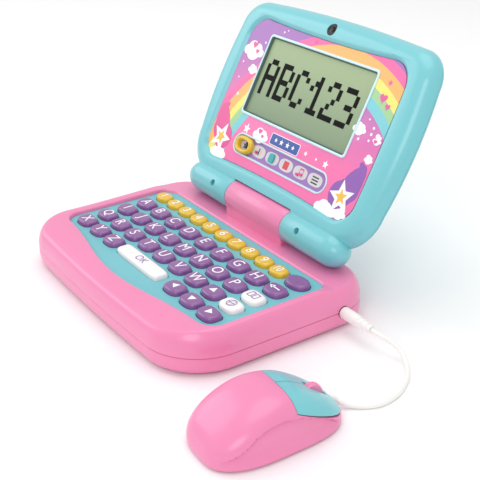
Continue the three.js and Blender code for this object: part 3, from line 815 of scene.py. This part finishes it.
# ---- Lid -----------------------------------------------------------------------------------------
LID_EDGE = lid_outline()
PANEL = panel_outline()
SHELL_FLOOR = PANEL_Z - 0.7


def lid_front():
    """The front shell: rounded over from its edge to a crest, then down to the printed panel."""
    rings = [level(inset(LID_EDGE, 0.3), LID_PARTING + 0.1), level(LID_EDGE, LID_PARTING + 0.4)]
    rise, run = LID_CREST - LID_PARTING - 0.4, 12
    for step in range(1, 13):
        a = step / 12 * math.pi / 2
        rings.append(level(inset(LID_EDGE, run * (1 - math.cos(a))), LID_CREST - rise + rise * math.sin(a)))
    crest, lip = inset(LID_EDGE, run), inset(PANEL, -3.2)
    for share in (0.5, 1.0):
        rings.append(level(between(crest, lip, share), LID_CREST))
    for out, z in ((-2.6, 7.7), (-2.1, 7.35), (-0.7, 5.8), (-0.25, 5.4), (0, SHELL_FLOOR)):
        rings.append(level(inset(PANEL, out), z))
    rings.append(level(PANEL, 3))
    rings.append(level(inset(LID_EDGE, 5), 2))
    rings.append(level(inset(LID_EDGE, 3), LID_PARTING + 0.1))
    rings.append(rings[0])
    return skin("lid_front_shell", rings)


def lid_back():
    """The back shell: a small rounding into a flat back."""
    rings = [level(inset(LID_EDGE, 0.3), LID_PARTING - 0.1), level(LID_EDGE, LID_PARTING - 0.4)]
    for step in range(1, 9):
        a = step / 8 * math.pi / 2
        rings.append(level(inset(LID_EDGE, 8 * (1 - math.cos(a))), LID_PARTING - 0.4 - 3.9 * math.sin(a)))
    rings.append([Vector((p.x, p.y, -8.5)) for p in shrink(rings[-1], 0.75)])
    rings.append([Vector((p.x, p.y, LID_BACK)) for p in shrink(rings[-1], 0.5)])
    return skin("lid_back_shell", [to_point(rings[0])] + rings + [to_point(rings[-1])])


def barrel_cut():
    """Room in the lid for the case's own barrel, which the lid swings round."""
    return drill("barrel_cut", BARREL_R + 1.4, 2 * BARREL_START, ALONG_X, 96)


# The lens leans back with the rounding of the lid that it sits in.
lens_place = Matrix.Translation((CAMERA_X, CAMERA_Y, 6.6)) @ Matrix.Rotation(math.radians(-11), 4, "X")
lens_hole = drill("lens_hole", 4.8, 6, lens_place @ Matrix.Translation((0, 0, 2.4)), 48)
front = boolean(lid_front(), barrel_cut(), "DIFFERENCE")
front = boolean(front, lens_hole, "DIFFERENCE")
settle(front, LID, "lid", TURQUOISE_ABS, ["lid_front"])
back = boolean(lid_back(), barrel_cut(), "DIFFERENCE")
settle(back, LID, "lid", TURQUOISE_ABS, ["lid_back"])


def lid_barrel(side):
    """One of the lid's barrels, with a domed outer end and a screw recess."""
    profile = [(BARREL_START, 0), (BARREL_START, 11.6), (36.35, 11.95), (36.8, BARREL_R), (60, BARREL_R)]
    turns = [math.pi / 2 * i / 12 for i in range(13)]
    shoulder = BARREL_END - BARREL_DOME
    profile += [(shoulder + BARREL_DOME * math.sin(a), BARREL_R * math.cos(a)) for a in turns]
    angles = [2 * math.pi * i / 64 for i in range(64)]
    rings = [[Vector((side * x, r * math.cos(a), r * math.sin(a))) for a in angles] for x, r in profile]
    barrel = skin("lid_barrel", rings)
    turn = Matrix.Rotation(math.radians(-3), 4, "X")
    hole = drill("screw_hole", SCREW_R, 10, turn @ Matrix.Translation((side * SCREW_X, 0, 13)), 32)
    return boolean(barrel, hole, "DIFFERENCE")


for side in (-1, 1):
    settle(lid_barrel(side), LID, "lid", TURQUOISE_ABS)

panel = slab("panel_sheet", inset(PANEL, 0.1), PANEL_Z - 0.4, PANEL_Z)
screen_hole = slab("screen_hole", rounded(-62, 62, 61.5, 122, 2), 0, 20)
boolean(panel, screen_hole, "DIFFERENCE")
pocket_hole = slab("pocket_hole", rounded(-56.9, 56.9, MODE_Y - 7.4, MODE_Y + 7.4, 7.3), 0, 20)
boolean(panel, pocket_hole, "DIFFERENCE")
settle(panel, LID, "lid", PANEL_PRINT, ["art_panel"])


def bead(name, outlines):
    """A moulded ring through a list of outlines and heights."""
    rings = [level(outline, z) for outline, z in outlines]
    return skin(name, rings + [rings[0]])


def screen_edge(amount):
    half, low, high = SCREEN_HALF - amount, SCREEN_LOW + amount, SCREEN_HIGH - amount
    return rounded(-half, half, low, high, 3.2 - amount * 0.6)


SCREEN_BEAD = ((0, 4.6), (0, 6.2), (0.3, 6.5), (0.7, 6.6), (1.4, 6.6), (1.8, 6.4), (1.8, 4.6))
SCREEN_WALL = ((1.8, 4), (1.8, 6.3), (2.1, 6.3), (2.9, 4.4), (2.9, 4.0))
screen_bead = bead("screen_bead", [(screen_edge(a), z) for a, z in SCREEN_BEAD])
settle(screen_bead, LID, "lid", PALE_HIGHLIGHT_ABS)
# The wall inside the screen's bead is dark grey as painted shade for the recess.
shade_wall = bead("screen_shade_wall", [(screen_edge(a), z) for a, z in SCREEN_WALL])
settle(shade_wall, LID, "lid", RECESS_SHADE_ABS)


def pocket_edge(amount):
    r = 8.4 - amount
    return rounded(-57.9 + amount, 57.9 - amount, MODE_Y - r, MODE_Y + r, r - 0.05, 12)


POCKET_BEAD = ((0, 4.6), (0, 5.9), (0.3, 6.2), (0.9, 6.2), (1.3, 5.9), (1.6, 4.2), (1.6, 3.6))
pocket_bead = bead("pocket_bead", [(pocket_edge(a), z) for a, z in POCKET_BEAD])
settle(pocket_bead, LID, "lid", PALE_HIGHLIGHT_ABS)
strip = slab("mode_strip", pocket_edge(1.4), 3.6, 4.15)
settle(strip, LID, "lid", INK["strip"])

glass = slab("display_glass", screen_edge(2.4), 3.2, 4.1)
settle(glass, LID, "lid", DISPLAY, ["display_module"])

# The display shows large letters and digits built of square dots.
DOT_FONT = {
    "A": (" ## ", "#  #", "#  #", "####", "#  #", "#  #", "#  #"),
    "B": ("### ", "#  #", "#  #", "### ", "#  #", "#  #", "### "),
    "C": (" ## ", "#  #", "#   ", "#   ", "#   ", "#  #", " ## "),
    "1": ("  # ", " ## ", "# # ", "  # ", "  # ", "  # ", " ###"),
    "2": (" ## ", "#  #", "   #", "  # ", " #  ", "#   ", "####"),
    "3": ("### ", "   #", "   #", " ## ", "   #", "   #", "### "),
}
DOT = 3.9
dots = []
for place_in_word, sign in enumerate("ABC123"):
    for row, line in enumerate(DOT_FONT[sign]):
        for column, mark in enumerate(line):
            if mark == "#":
                x = -54.6 + (place_in_word * 4.85 + column) * DOT
                y = 104.5 - row * DOT * 1.05
                dots.append(
                    add(
                        bpy.ops.mesh.primitive_cube_add,
                        "dot",
                        size=1,
                        location=(x, y, 4.15),
                        scale=(DOT * 1.0, DOT * 1.05, 0.12),
                    )
                )
word = merge("display_word", dots)
fix_place(word)
settle(word, LID, "lid", LCD_INK)


# ---- The printed picture -------------------------------------------------------------------------
def disc(x, y, rx, ry, height, power=2.0):
    """A flat printed spot."""
    return slab("spot", oval(x, y, rx, ry, power, 24), PANEL_Z - 0.05, PANEL_Z + height)


def star(x, y, size, height, turn=90):
    points = []
    for i in range(10):
        a = math.radians(turn + 36 * i)
        r = size if i % 2 == 0 else size * 0.45
        points.append((x + r * math.cos(a), y + r * math.sin(a)))
    return slab("star", points, PANEL_Z - 0.05, PANEL_Z + height)


def heart(x, y, size, height):
    points = []
    for i in range(28):
        t = 2 * math.pi * i / 28
        across = 16 * math.sin(t) ** 3
        up = 13 * math.cos(t) - 5 * math.cos(2 * t) - 2 * math.cos(3 * t) - math.cos(4 * t)
        points.append((x - across * size / 16, y + up * size / 16))
    return slab("heart", points, PANEL_Z - 0.05, PANEL_Z + height)


PUFFS = ((-0.34, -0.15, 0.2), (-0.12, 0.12, 0.26), (0.14, 0.05, 0.24), (0.35, -0.15, 0.17), (0, -0.2, 0.34))


def cloud(x, y, width, height_mm, level_mm=0.05):
    """A cloud of five puffs on a flat base."""
    puffs = []
    for i, (px, py, r) in enumerate(PUFFS):
        rx, ry = r * width, r * width * 0.82
        puffs.append(disc(x + px * width, y + py * height_mm, rx, ry, level_mm + i * 0.01))
    return puffs


white_art, rose_art, violet_art, gold_art = [], [], [], []
for x, y, width, tall in (
    (-78, 108.5, 24, 11),
    (-70.5, 94, 11, 8),
    (66.5, 83.5, 13, 9),
    (-30, 50, 18, 9),
    (86.6, 81, 8, 12),
    (86.2, 66.5, 8, 8),
    (-72, 23.5, 20, 7),
    (66, 23.5, 22, 7),
    (80, 25.5, 14, 8),
):
    white_art += cloud(x, y, width, tall)
for x, y, size in (
    (-49, 49.6, 4.4),
    (25.5, 51.5, 2.1),
    (49, 50.6, 3.2),
    (69, 76, 1.5),
    (-77, 71.5, 1.9),
    (-86, 96.5, 1.2),
    (-68, 116, 1.3),
    (38, 51, 1.4),
):
    white_art.append(star(x, y, size, 0.06, 84))
for x, y, r in (
    (79, 86.5, 1),
    (79, 82, 1.1),
    (79, 77.5, 0.9),
    (-84, 84, 0.7),
    (72, 91, 0.7),
    (-51, 128, 0.8),
    (-47, 130, 0.6),
):
    white_art.append(disc(x, y, r, r, 0.06))
for x, y, size in (
    (76, 107.4, 3.6),
    (82.8, 102.8, 2.4),
    (-79, 112, 3.1),
    (-73.6, 107.6, 2.2),
    (-32, 52.2, 2.4),
    (-27.6, 49.2, 1.6),
    (85.4, 78.6, 1.7),
):
    rose_art.append(heart(x, y, size, 0.14))
for x, y, size in ((76.5, 118.4, 2.4), (-11, 128.5, 2.0)):
    rose_art.append(star(x, y, size, 0.1))
# Two shooting stars stand at the lower corners, each with a tail of soft puffs.
for side, art in ((-1, rose_art), (1, violet_art)):
    foot_x = side * 76
    for i in range(9):
        t = i / 8
        x = foot_x - side * (3 - 14 * math.sin(t * 2.4))
        y = 36 + 25 * t
        r = 8.2 * (1 - t) + 2.0 + 2.0 * math.sin(math.pi * t)
        if abs(x) + r > 90:
            x = side * (90 - r)
        art.append(disc(x, y, r, r, 0.07 + i * 0.008))
    white_art.append(star(foot_x, 35, 12.5, 0.2, 90 + side * 14))
    gold_art.append(star(foot_x, 35.2, 6.0, 0.26, 90 + side * 14))
for name, spots, ink in (
    ("white_print", white_art, "white"),
    ("rose_print", rose_art, "rose"),
    ("violet_print", violet_art, "violet"),
    ("gold_print", gold_art, "gold"),
):
    settle(merge(name, spots), LID, "lid", INK[ink])

label = slab("label_edge", rounded(-17.6, 17.6, 46.6, 55.6, 1.4), PANEL_Z - 0.05, PANEL_Z + 0.2)
settle(label, LID, "lid", INK["white"])
label = slab("label", rounded(-17, 17, 47.1, 55.1, 1.0), PANEL_Z, PANEL_Z + 0.26)
settle(label, LID, "lid", INK["blue"])
label_stars = [star(x, 51.1, r, 0.32) for x, r in ((-10.5, 1.9), (-3.8, 2.4), (3.8, 2.4), (10.5, 1.9))]
settle(merge("label_stars", label_stars), LID, "lid", INK["white"])

# Six modes, each a pale spot with a plain sign.
SPOT_Z = 4.15
SIGN_TOP = SPOT_Z + 0.16


def mode_x(i):
    return (i - 2.5) * MODE_PITCH


def sign_bar(i, x0, x1, y0, y1, r, top=SIGN_TOP):
    """A bar of a sign, placed from the middle of its spot."""
    x = mode_x(i)
    return slab("sign", rounded(x + x0, x + x1, MODE_Y + y0, MODE_Y + y1, r), SPOT_Z, top)


spots = [
    slab("mode_spot", oval(mode_x(i), MODE_Y, 7.9, 4.6, 2.6, 36), SPOT_Z - 0.05, SPOT_Z + 0.08)
    for i in range(6)
]
settle(merge("mode_spots", spots), LID, "lid", GREY_PRINT)
lift = SIGN_TOP - PANEL_Z
signs = {
    "black": [star(mode_x(0) + 1, MODE_Y, 3.0, lift)],
    "teal": [disc(mode_x(2), MODE_Y, 3.0, 3.6, lift, 3.5)],
    "red": [sign_bar(3, -3, 3, -3, 3, 0.8), disc(mode_x(1) - 2.2, MODE_Y - 1, 1.2, 1.2, lift)],
    "rose": [
        disc(mode_x(4) - 2, MODE_Y - 2, 1.4, 1.1, lift),
        disc(mode_x(4) + 2, MODE_Y - 1.2, 1.4, 1.1, lift),
        sign_bar(4, -1.2, -0.6, -2, 3, 0.2),
        sign_bar(4, 2.8, 3.4, -1, 3.4, 0.2),
        sign_bar(4, -1.2, 3.4, 2.2, 3.4, 0.3, SPOT_Z + 0.15),
    ],
    "blue": [sign_bar(1, -0.6, 0.8, -2.6, 2.8, 0.4)],
    "gold": [sign_bar(1, 2, 3.2, -2.6, 1.4, 0.4)],
}
signs["black"] += [sign_bar(5, -3.6, 3.6, dy - 0.5, dy + 0.5, 0.4) for dy in (-2.4, -0.2, 2.0)]
for ink, shapes in signs.items():
    settle(merge(f"mode_sign_{ink}", shapes), LID, "lid", INK[ink])


def mode_ring():
    """The slider: a thick ring that frames the chosen sign."""
    x = mode_x(0)
    outer = [(10.6, 6.7, 4.5), (10.6, 6.7, 6.6), (10.3, 6.4, 7.5), (9.6, 5.8, 8.2), (8.6, 5.0, 8.5)]
    inner = [(7.6, 4.2, 8.3), (6.9, 3.6, 7.6), (6.6, 3.3, 6.6), (6.6, 3.3, 4.5)]
    rings = [level(oval(x, MODE_Y, hx, hy, 2.5, 48), z) for hx, hy, z in outer + inner]
    return skin("mode_ring", rings + [rings[0]])


settle(mode_ring(), LID, "mode_slider", YELLOW_KEY, ["mode_slider"], angle=60)


def turned_piece(name, profile, place, count=48):
    """A lathe-turned shape from (radius, height) points."""
    angles = [2 * math.pi * i / count for i in range(count)]
    rings = [[Vector((r * math.cos(a), r * math.sin(a), z)) for a in angles] for r, z in profile]
    piece = skin(name, rings)
    piece.matrix_world = place
    return piece


dome = [(0, -0.5), (4.72, -0.5), (4.72, 0.25), (4.4, 0.5), (3.3, 0.1), (3.0, 0.1), (1.6, 0.5), (0, 0.65)]
settle(turned_piece("lens_dome", dome, lens_place), LID, "lid", BLACK_GLASS, ["camera_lens"], 60)

# ---- Mouse ---------------------------------------------------------------------------------------
MOUSE_HALF_L, MOUSE_HALF_W = 45.0, 27.7
WAIST_Z = 2.8
MOUSE_SEAM, MOUSE_WALL = 8.6, 1.8
FLANK_DEPTH = 2.7
BUTTON_REAR, BUTTON_SIDE_Z, BUTTON_FRONT_Z, LEAD_Z = 7.0, 24.0, 4.5, 7.0
# Heights along the mouse, from its rear at -1 to its nose at 1: the back, and the crease on its flanks.
TOP_LINE = (
    (-1, 8), (-0.85, 16.5), (-0.5, 26.6), (-0.1, 32.1), (0.3, 29.7), (0.65, 20.9), (0.9, 12.4), (1, 9.2),
)  # fmt: skip
CREASE = (
    (-1, 3), (-0.92, 6), (-0.73, 10.5), (-0.55, 15.4), (-0.43, 19.3), (-0.26, 22), (-0.05, 22.9),
    (0.14, 21.9), (0.36, 18.6), (0.54, 14.6), (0.66, 11.4), (0.8, 7), (1, 4),
)  # fmt: skip


def along(knots, s):
    """A smooth curve through (position, value) knots."""
    for i in range(len(knots) - 1):
        (s0, v0), (s1, v1) = knots[i], knots[i + 1]
        if s <= s1 or i == len(knots) - 2:
            break
    before, after = knots[max(0, i - 1)], knots[min(len(knots) - 1, i + 2)]
    m0 = (v1 - before[1]) / (s1 - before[0]) * (s1 - s0)
    m1 = (after[1] - v0) / (after[0] - s0) * (s1 - s0)
    t = (s - s0) / (s1 - s0)
    start = (2 * t**3 - 3 * t**2 + 1) * v0 + (t**3 - 2 * t**2 + t) * m0
    return start + (3 * t**2 - 2 * t**3) * v1 + (t**3 - t**2) * m1


def mouse_body(name, wall=0.0):
    """The whole mouse, or the hollow inside its wall."""
    rows, around = 84, 128
    rings = []
    for j in range(rows + 1):
        s = math.sin(math.pi / 2 * (2 * j / rows - 1))
        square = 3.2 if s < 0 else 2.9
        width = (MOUSE_HALF_W - wall) * max(0.0, 1 - abs(s) ** square) ** (1 / square)
        width *= 1 - 0.12 * s * (1 - abs(s))
        close = max(0.0, 1 - max(0.0, (abs(s) - 0.93) / 0.07) ** 2.4) ** (1 / 2.4)
        top = WAIST_Z + (along(TOP_LINE, s) - wall - WAIST_Z) * close
        low = WAIST_Z - (WAIST_Z - 0.6 - wall) * close
        ring = []
        for i in range(around):
            a = 2 * math.pi * i / around
            c, n = math.cos(a), math.sin(a)
            if n >= 0:
                x = width * math.copysign(abs(c) ** (2 / 3.3), c)
                z = WAIST_Z + (top - WAIST_Z) * abs(n) ** (2 / 3.3)
            else:
                x = width * math.copysign(abs(c) ** (2 / 4), c)
                z = WAIST_Z - (WAIST_Z - low) * abs(n) ** (2 / 4)
            # Below the crease the flank is drawn in, so that a hand can grip it.
            line = along(CREASE, s)
            drawn = ease(line - z, 0, 1.0) * ease(z, 0.5, 11) * ease(1 - abs(s), 0.02, 0.2)
            x -= math.copysign(FLANK_DEPTH * drawn, c) * min(1.0, abs(x) / 12)
            ring.append(Vector((x, s * (MOUSE_HALF_L - wall), z)))
        rings.append(ring)
    return skin(name, rings)


def block(name, x0, x1, y0, y1, z0, z1):
    middle = ((x0 + x1) / 2, (y0 + y1) / 2, (z0 + z1) / 2)
    sides = (x1 - x0, y1 - y0, z1 - z0)
    cube = add(bpy.ops.mesh.primitive_cube_add, name, size=1, location=middle, scale=sides)
    fix_place(cube)
    return cube


def button_zone(gap, drop, x0, x1):
    """Everything above the line where the buttons end, seen from the side."""
    outline = [
        (BUTTON_REAR - gap, 60),
        (BUTTON_REAR - gap, BUTTON_SIDE_Z - gap),
        (MOUSE_HALF_L + 4, BUTTON_FRONT_Z - drop),
        (60, BUTTON_FRONT_Z - drop),
        (60, 60),
    ]
    return prism_x("button_zone", outline, x0, x1)


WHEEL_Y, WHEEL_Z, WHEEL_SLOT_R = 30.5, 14.7, 8.7


def wheel_room():
    """The slot that the wheel turns in."""
    return drill("wheel_room", WHEEL_SLOT_R, 7.8, Matrix.Translation((0, WHEEL_Y, WHEEL_Z)) @ ALONG_X, 64)


def lead_room(radius):
    """The hole in the nose that the lead comes out of."""
    return drill("lead_room", radius, 30, Matrix.Translation((0, MOUSE_HALF_L, LEAD_Z)) @ ALONG_Y)


whole = mouse_body("mouse_whole")
boolean(whole, mouse_body("mouse_hollow", MOUSE_WALL), "DIFFERENCE")

sole = copy_of(whole, "mouse_sole")
boolean(sole, block("low_half", -60, 60, -60, 60, -5, MOUSE_SEAM), "INTERSECT")
boolean(sole, lead_room(2.6), "DIFFERENCE")
pads = [slab("glide_pad", rounded(-12, 12, y - 4, y + 4, 3.9), 0, 1.2) for y in (-28, 26)]
settle(merge("mouse_sole", [sole] + pads), MOUSE, "mouse", PINK_ABS, ["mouse_base"])

cover = copy_of(whole, "mouse_palm_cover")
boolean(cover, block("top_half", -60, 60, -60, 60, MOUSE_SEAM + 0.03, 60), "INTERSECT")
boolean(cover, button_zone(0.3, 1.7, -60, 60), "DIFFERENCE")
boolean(cover, wheel_room(), "DIFFERENCE")
settle(cover, MOUSE, "mouse", PINK_ABS, ["mouse_cover"])

for side, name in ((-1, "left"), (1, "right")):
    button = copy_of(whole, f"mouse_{name}_key")
    near, far = sorted((side * 0.25, side * 60))
    boolean(button, button_zone(0, 0, near, far), "INTERSECT")
    boolean(button, wheel_room(), "DIFFERENCE")
    boolean(button, lead_room(4.4), "DIFFERENCE")
    settle(
        button, MOUSE, f"mouse_{name}_button", TURQUOISE_ABS, [f"mouse_{name}_button"]
    )
bpy.data.objects.remove(whole)

# The wheel has a rounded rim with shallow ribs across it.
ribs = 30
wheel_rings = []
for x, radius in (
    (-2.8, 2), (-2.8, 5.4), (-2.5, 6.8), (-1.7, 7.35), (0, 7.5), (1.7, 7.35), (2.5, 6.8), (2.8, 5.4), (2.8, 2),
):
    ring = []
    for i in range(4 * ribs):
        a = 2 * math.pi * i / (4 * ribs)
        r = radius - (0.3 if i % 4 in (0, 1) and radius > 6.9 else 0)
        ring.append(Vector((x, WHEEL_Y + r * math.cos(a), WHEEL_Z + r * math.sin(a))))
    wheel_rings.append(ring)
settle(
    skin("scroll_wheel", [to_point(wheel_rings[0])] + wheel_rings + [to_point(wheel_rings[-1])]),
    MOUSE, "mouse_wheel", PINK_ABS, ["mouse_wheel"],
)

# ---- Plug and lead -------------------------------------------------------------------------------
plug_profile = [(0, 0), (4.0, 0), (4.2, 0.3), (4.2, 6), (4.1, 10), (3.9, 14), (3.8, 16)]
for start, radius in ((16.5, 3.7), (20.5, 3.4), (24.5, 3.0)):
    neck = radius - 0.6
    plug_profile += [(neck, start), (neck, start + 1.4), (radius, start + 1.9), (radius - 0.1, start + 3.5)]
plug_profile += [(2.1, PLUG_L), (0, PLUG_L)]
plug_place = Matrix.Translation((PLUG_X, PLUG_Y, PLUG_Z)) @ ALONG_X
plug_grip = turned_piece("plug_grip", plug_profile, plug_place)
settle(plug_grip, CASE, "plug", WHITE_PVC, ["cord_plug"], 40)

LEAD_ROUTE = [
    (144.7, 35.8, 14), (151.3, 36.5, 13.4), (155, 38.3, 12.2), (158.2, 39.8, 10.9), (161.6, 41.1, 9.2),
    (165.8, 41.7, 7), (169.6, 41.1, 5), (174.6, 38.9, 3.2), (179.6, 35.5, 2.1), (183.6, 31.8, 1.7),
    (187.2, 27.5, 1.7), (191, 21.8, 1.7), (193.7, 16.8, 1.7), (195.6, 11.3, 1.7), (196.6, 6.4, 1.7),
    (196.9, 2.2, 1.7), (196.4, -2.2, 1.7), (194.5, -7.2, 1.7), (191.4, -12.1, 1.7), (187.8, -16.6, 2.1),
    (184.5, -19.9, 3), (182.2, -21.9, 4.3), (181, -23.2, 5.8), (180.5, -25.2, 6.8), (180.25, -27.6, 7),
]  # fmt: skip


def smooth_route(points, steps):
    """A Catmull-Rom line through the points."""
    line = []
    padded = [points[0]] + points + [points[-1]]
    for a, b, c, d in zip(padded, padded[1:], padded[2:], padded[3:]):
        for i in range(steps):
            t = i / steps
            bend = (2 * a - 5 * b + 4 * c - d) * t**2 + (3 * b - a - 3 * c + d) * t**3
            line.append(0.5 * (2 * b + (c - a) * t + bend))
    return line + [points[-1]]


lead_line = smooth_route([Vector(p) for p in LEAD_ROUTE], 5)


def tube(name, line, radius, count=16):
    """A round tube along a line, with the same side kept up all the way."""
    rings = []
    up = Vector((0, 0, 1))
    for i, point in enumerate(line):
        run = (line[min(i + 1, len(line) - 1)] - line[max(i - 1, 0)]).normalized()
        across = run.cross(up).normalized()
        over = across.cross(run).normalized()
        angles = [2 * math.pi * k / count for k in range(count)]
        rings.append([point + radius * (math.cos(a) * across + math.sin(a) * over) for a in angles])
    return skin(name, [to_point(rings[0])] + rings + [to_point(rings[-1])])


lead = tube("lead", lead_line, CORD_D / 2)
lead.matrix_world = CASE
fix_place(lead)
bpy.ops.object.shade_smooth_by_angle(angle=math.radians(50))
lead.data.materials.clear()
lead.data.materials.append(WHITE_PVC)
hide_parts("mouse_cord")
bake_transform(lead)

# ---- Pieces that keep their CAD shape ------------------------------------------------------------
KEPT = {
    "battery_door": PINK_ABS,
    "mouse_socket": BLACK_ABS,
    "speaker": BLACK_ABS,
    "key_membrane": moulded("Silicone rubber membrane", "#D6D2CE", 0.7),
    "main_board": moulded("Circuit board with solder resist", "#2E7A4A", 0.4),
    "mouse_board": moulded("Small circuit board", "#2E7A4A", 0.4),
    "hinge_pin": moulded("Steel wire", "#B8BCC0", 0.35),
}
for node, finish in KEPT.items():
    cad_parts[node].data.materials.clear()
    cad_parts[node].data.materials.append(finish)

# ---- Floor, lights and camera --------------------------------------------------------------------
floor = add(bpy.ops.mesh.primitive_plane_add, "floor", size=12, location=(0, 0, 0))
paper, tree, shader, place = finish_with("White paper sweep", Roughness=0.75)
shader.inputs["Base Color"].default_value = linear("#FAFAFA")
floor.data.materials.append(paper)


def area_light(name, place, aim, size, power):
    data = bpy.data.lights.new(name, "AREA")
    data.shape = "DISK"
    data.size = size
    data.energy = power
    lamp = bpy.data.objects.new(name, data)
    bpy.context.collection.objects.link(lamp)
    lamp.location = place
    lamp.rotation_euler = (Vector(aim) - Vector(place)).to_track_quat("-Z", "Y").to_euler()
    return lamp


area_light("overhead", (-0.1, 0.1, 1.3), (0, 0, 0), 1.2, 5)
area_light("key", (0.9, -1.1, 1.0), (0, 0, 0.05), 0.8, 5)
area_light("side", (-1.2, -0.5, 0.8), (0, 0, 0.05), 0.9, 3)

world = bpy.data.worlds.new("studio")
bpy.context.scene.world = world
world.use_nodes = True
world.node_tree.nodes["Background"].inputs["Color"].default_value = (1, 1, 1, 1)
world.node_tree.nodes["Background"].inputs["Strength"].default_value = 0.78
bpy.context.scene.view_settings.view_transform = "Standard"

CAMERA_PLACE = Vector((563.7, -332.0, 349.25))
AZIMUTH, ELEVATION, ROLL = 57.287, 25.931, -1.677
camera_data = bpy.data.cameras.new("camera")
camera_data.lens = 75
camera_data.sensor_width = 36
camera = bpy.data.objects.new("camera", camera_data)
bpy.context.collection.objects.link(camera)
turn = (
    Matrix.Rotation(math.radians(AZIMUTH), 4, "Z")
    @ Matrix.Rotation(math.radians(90 - ELEVATION), 4, "X")
    @ Matrix.Rotation(math.radians(ROLL), 4, "Z")
)
camera.matrix_world = Matrix.Translation(CASE @ CAMERA_PLACE) @ turn
bpy.context.scene.camera = camera
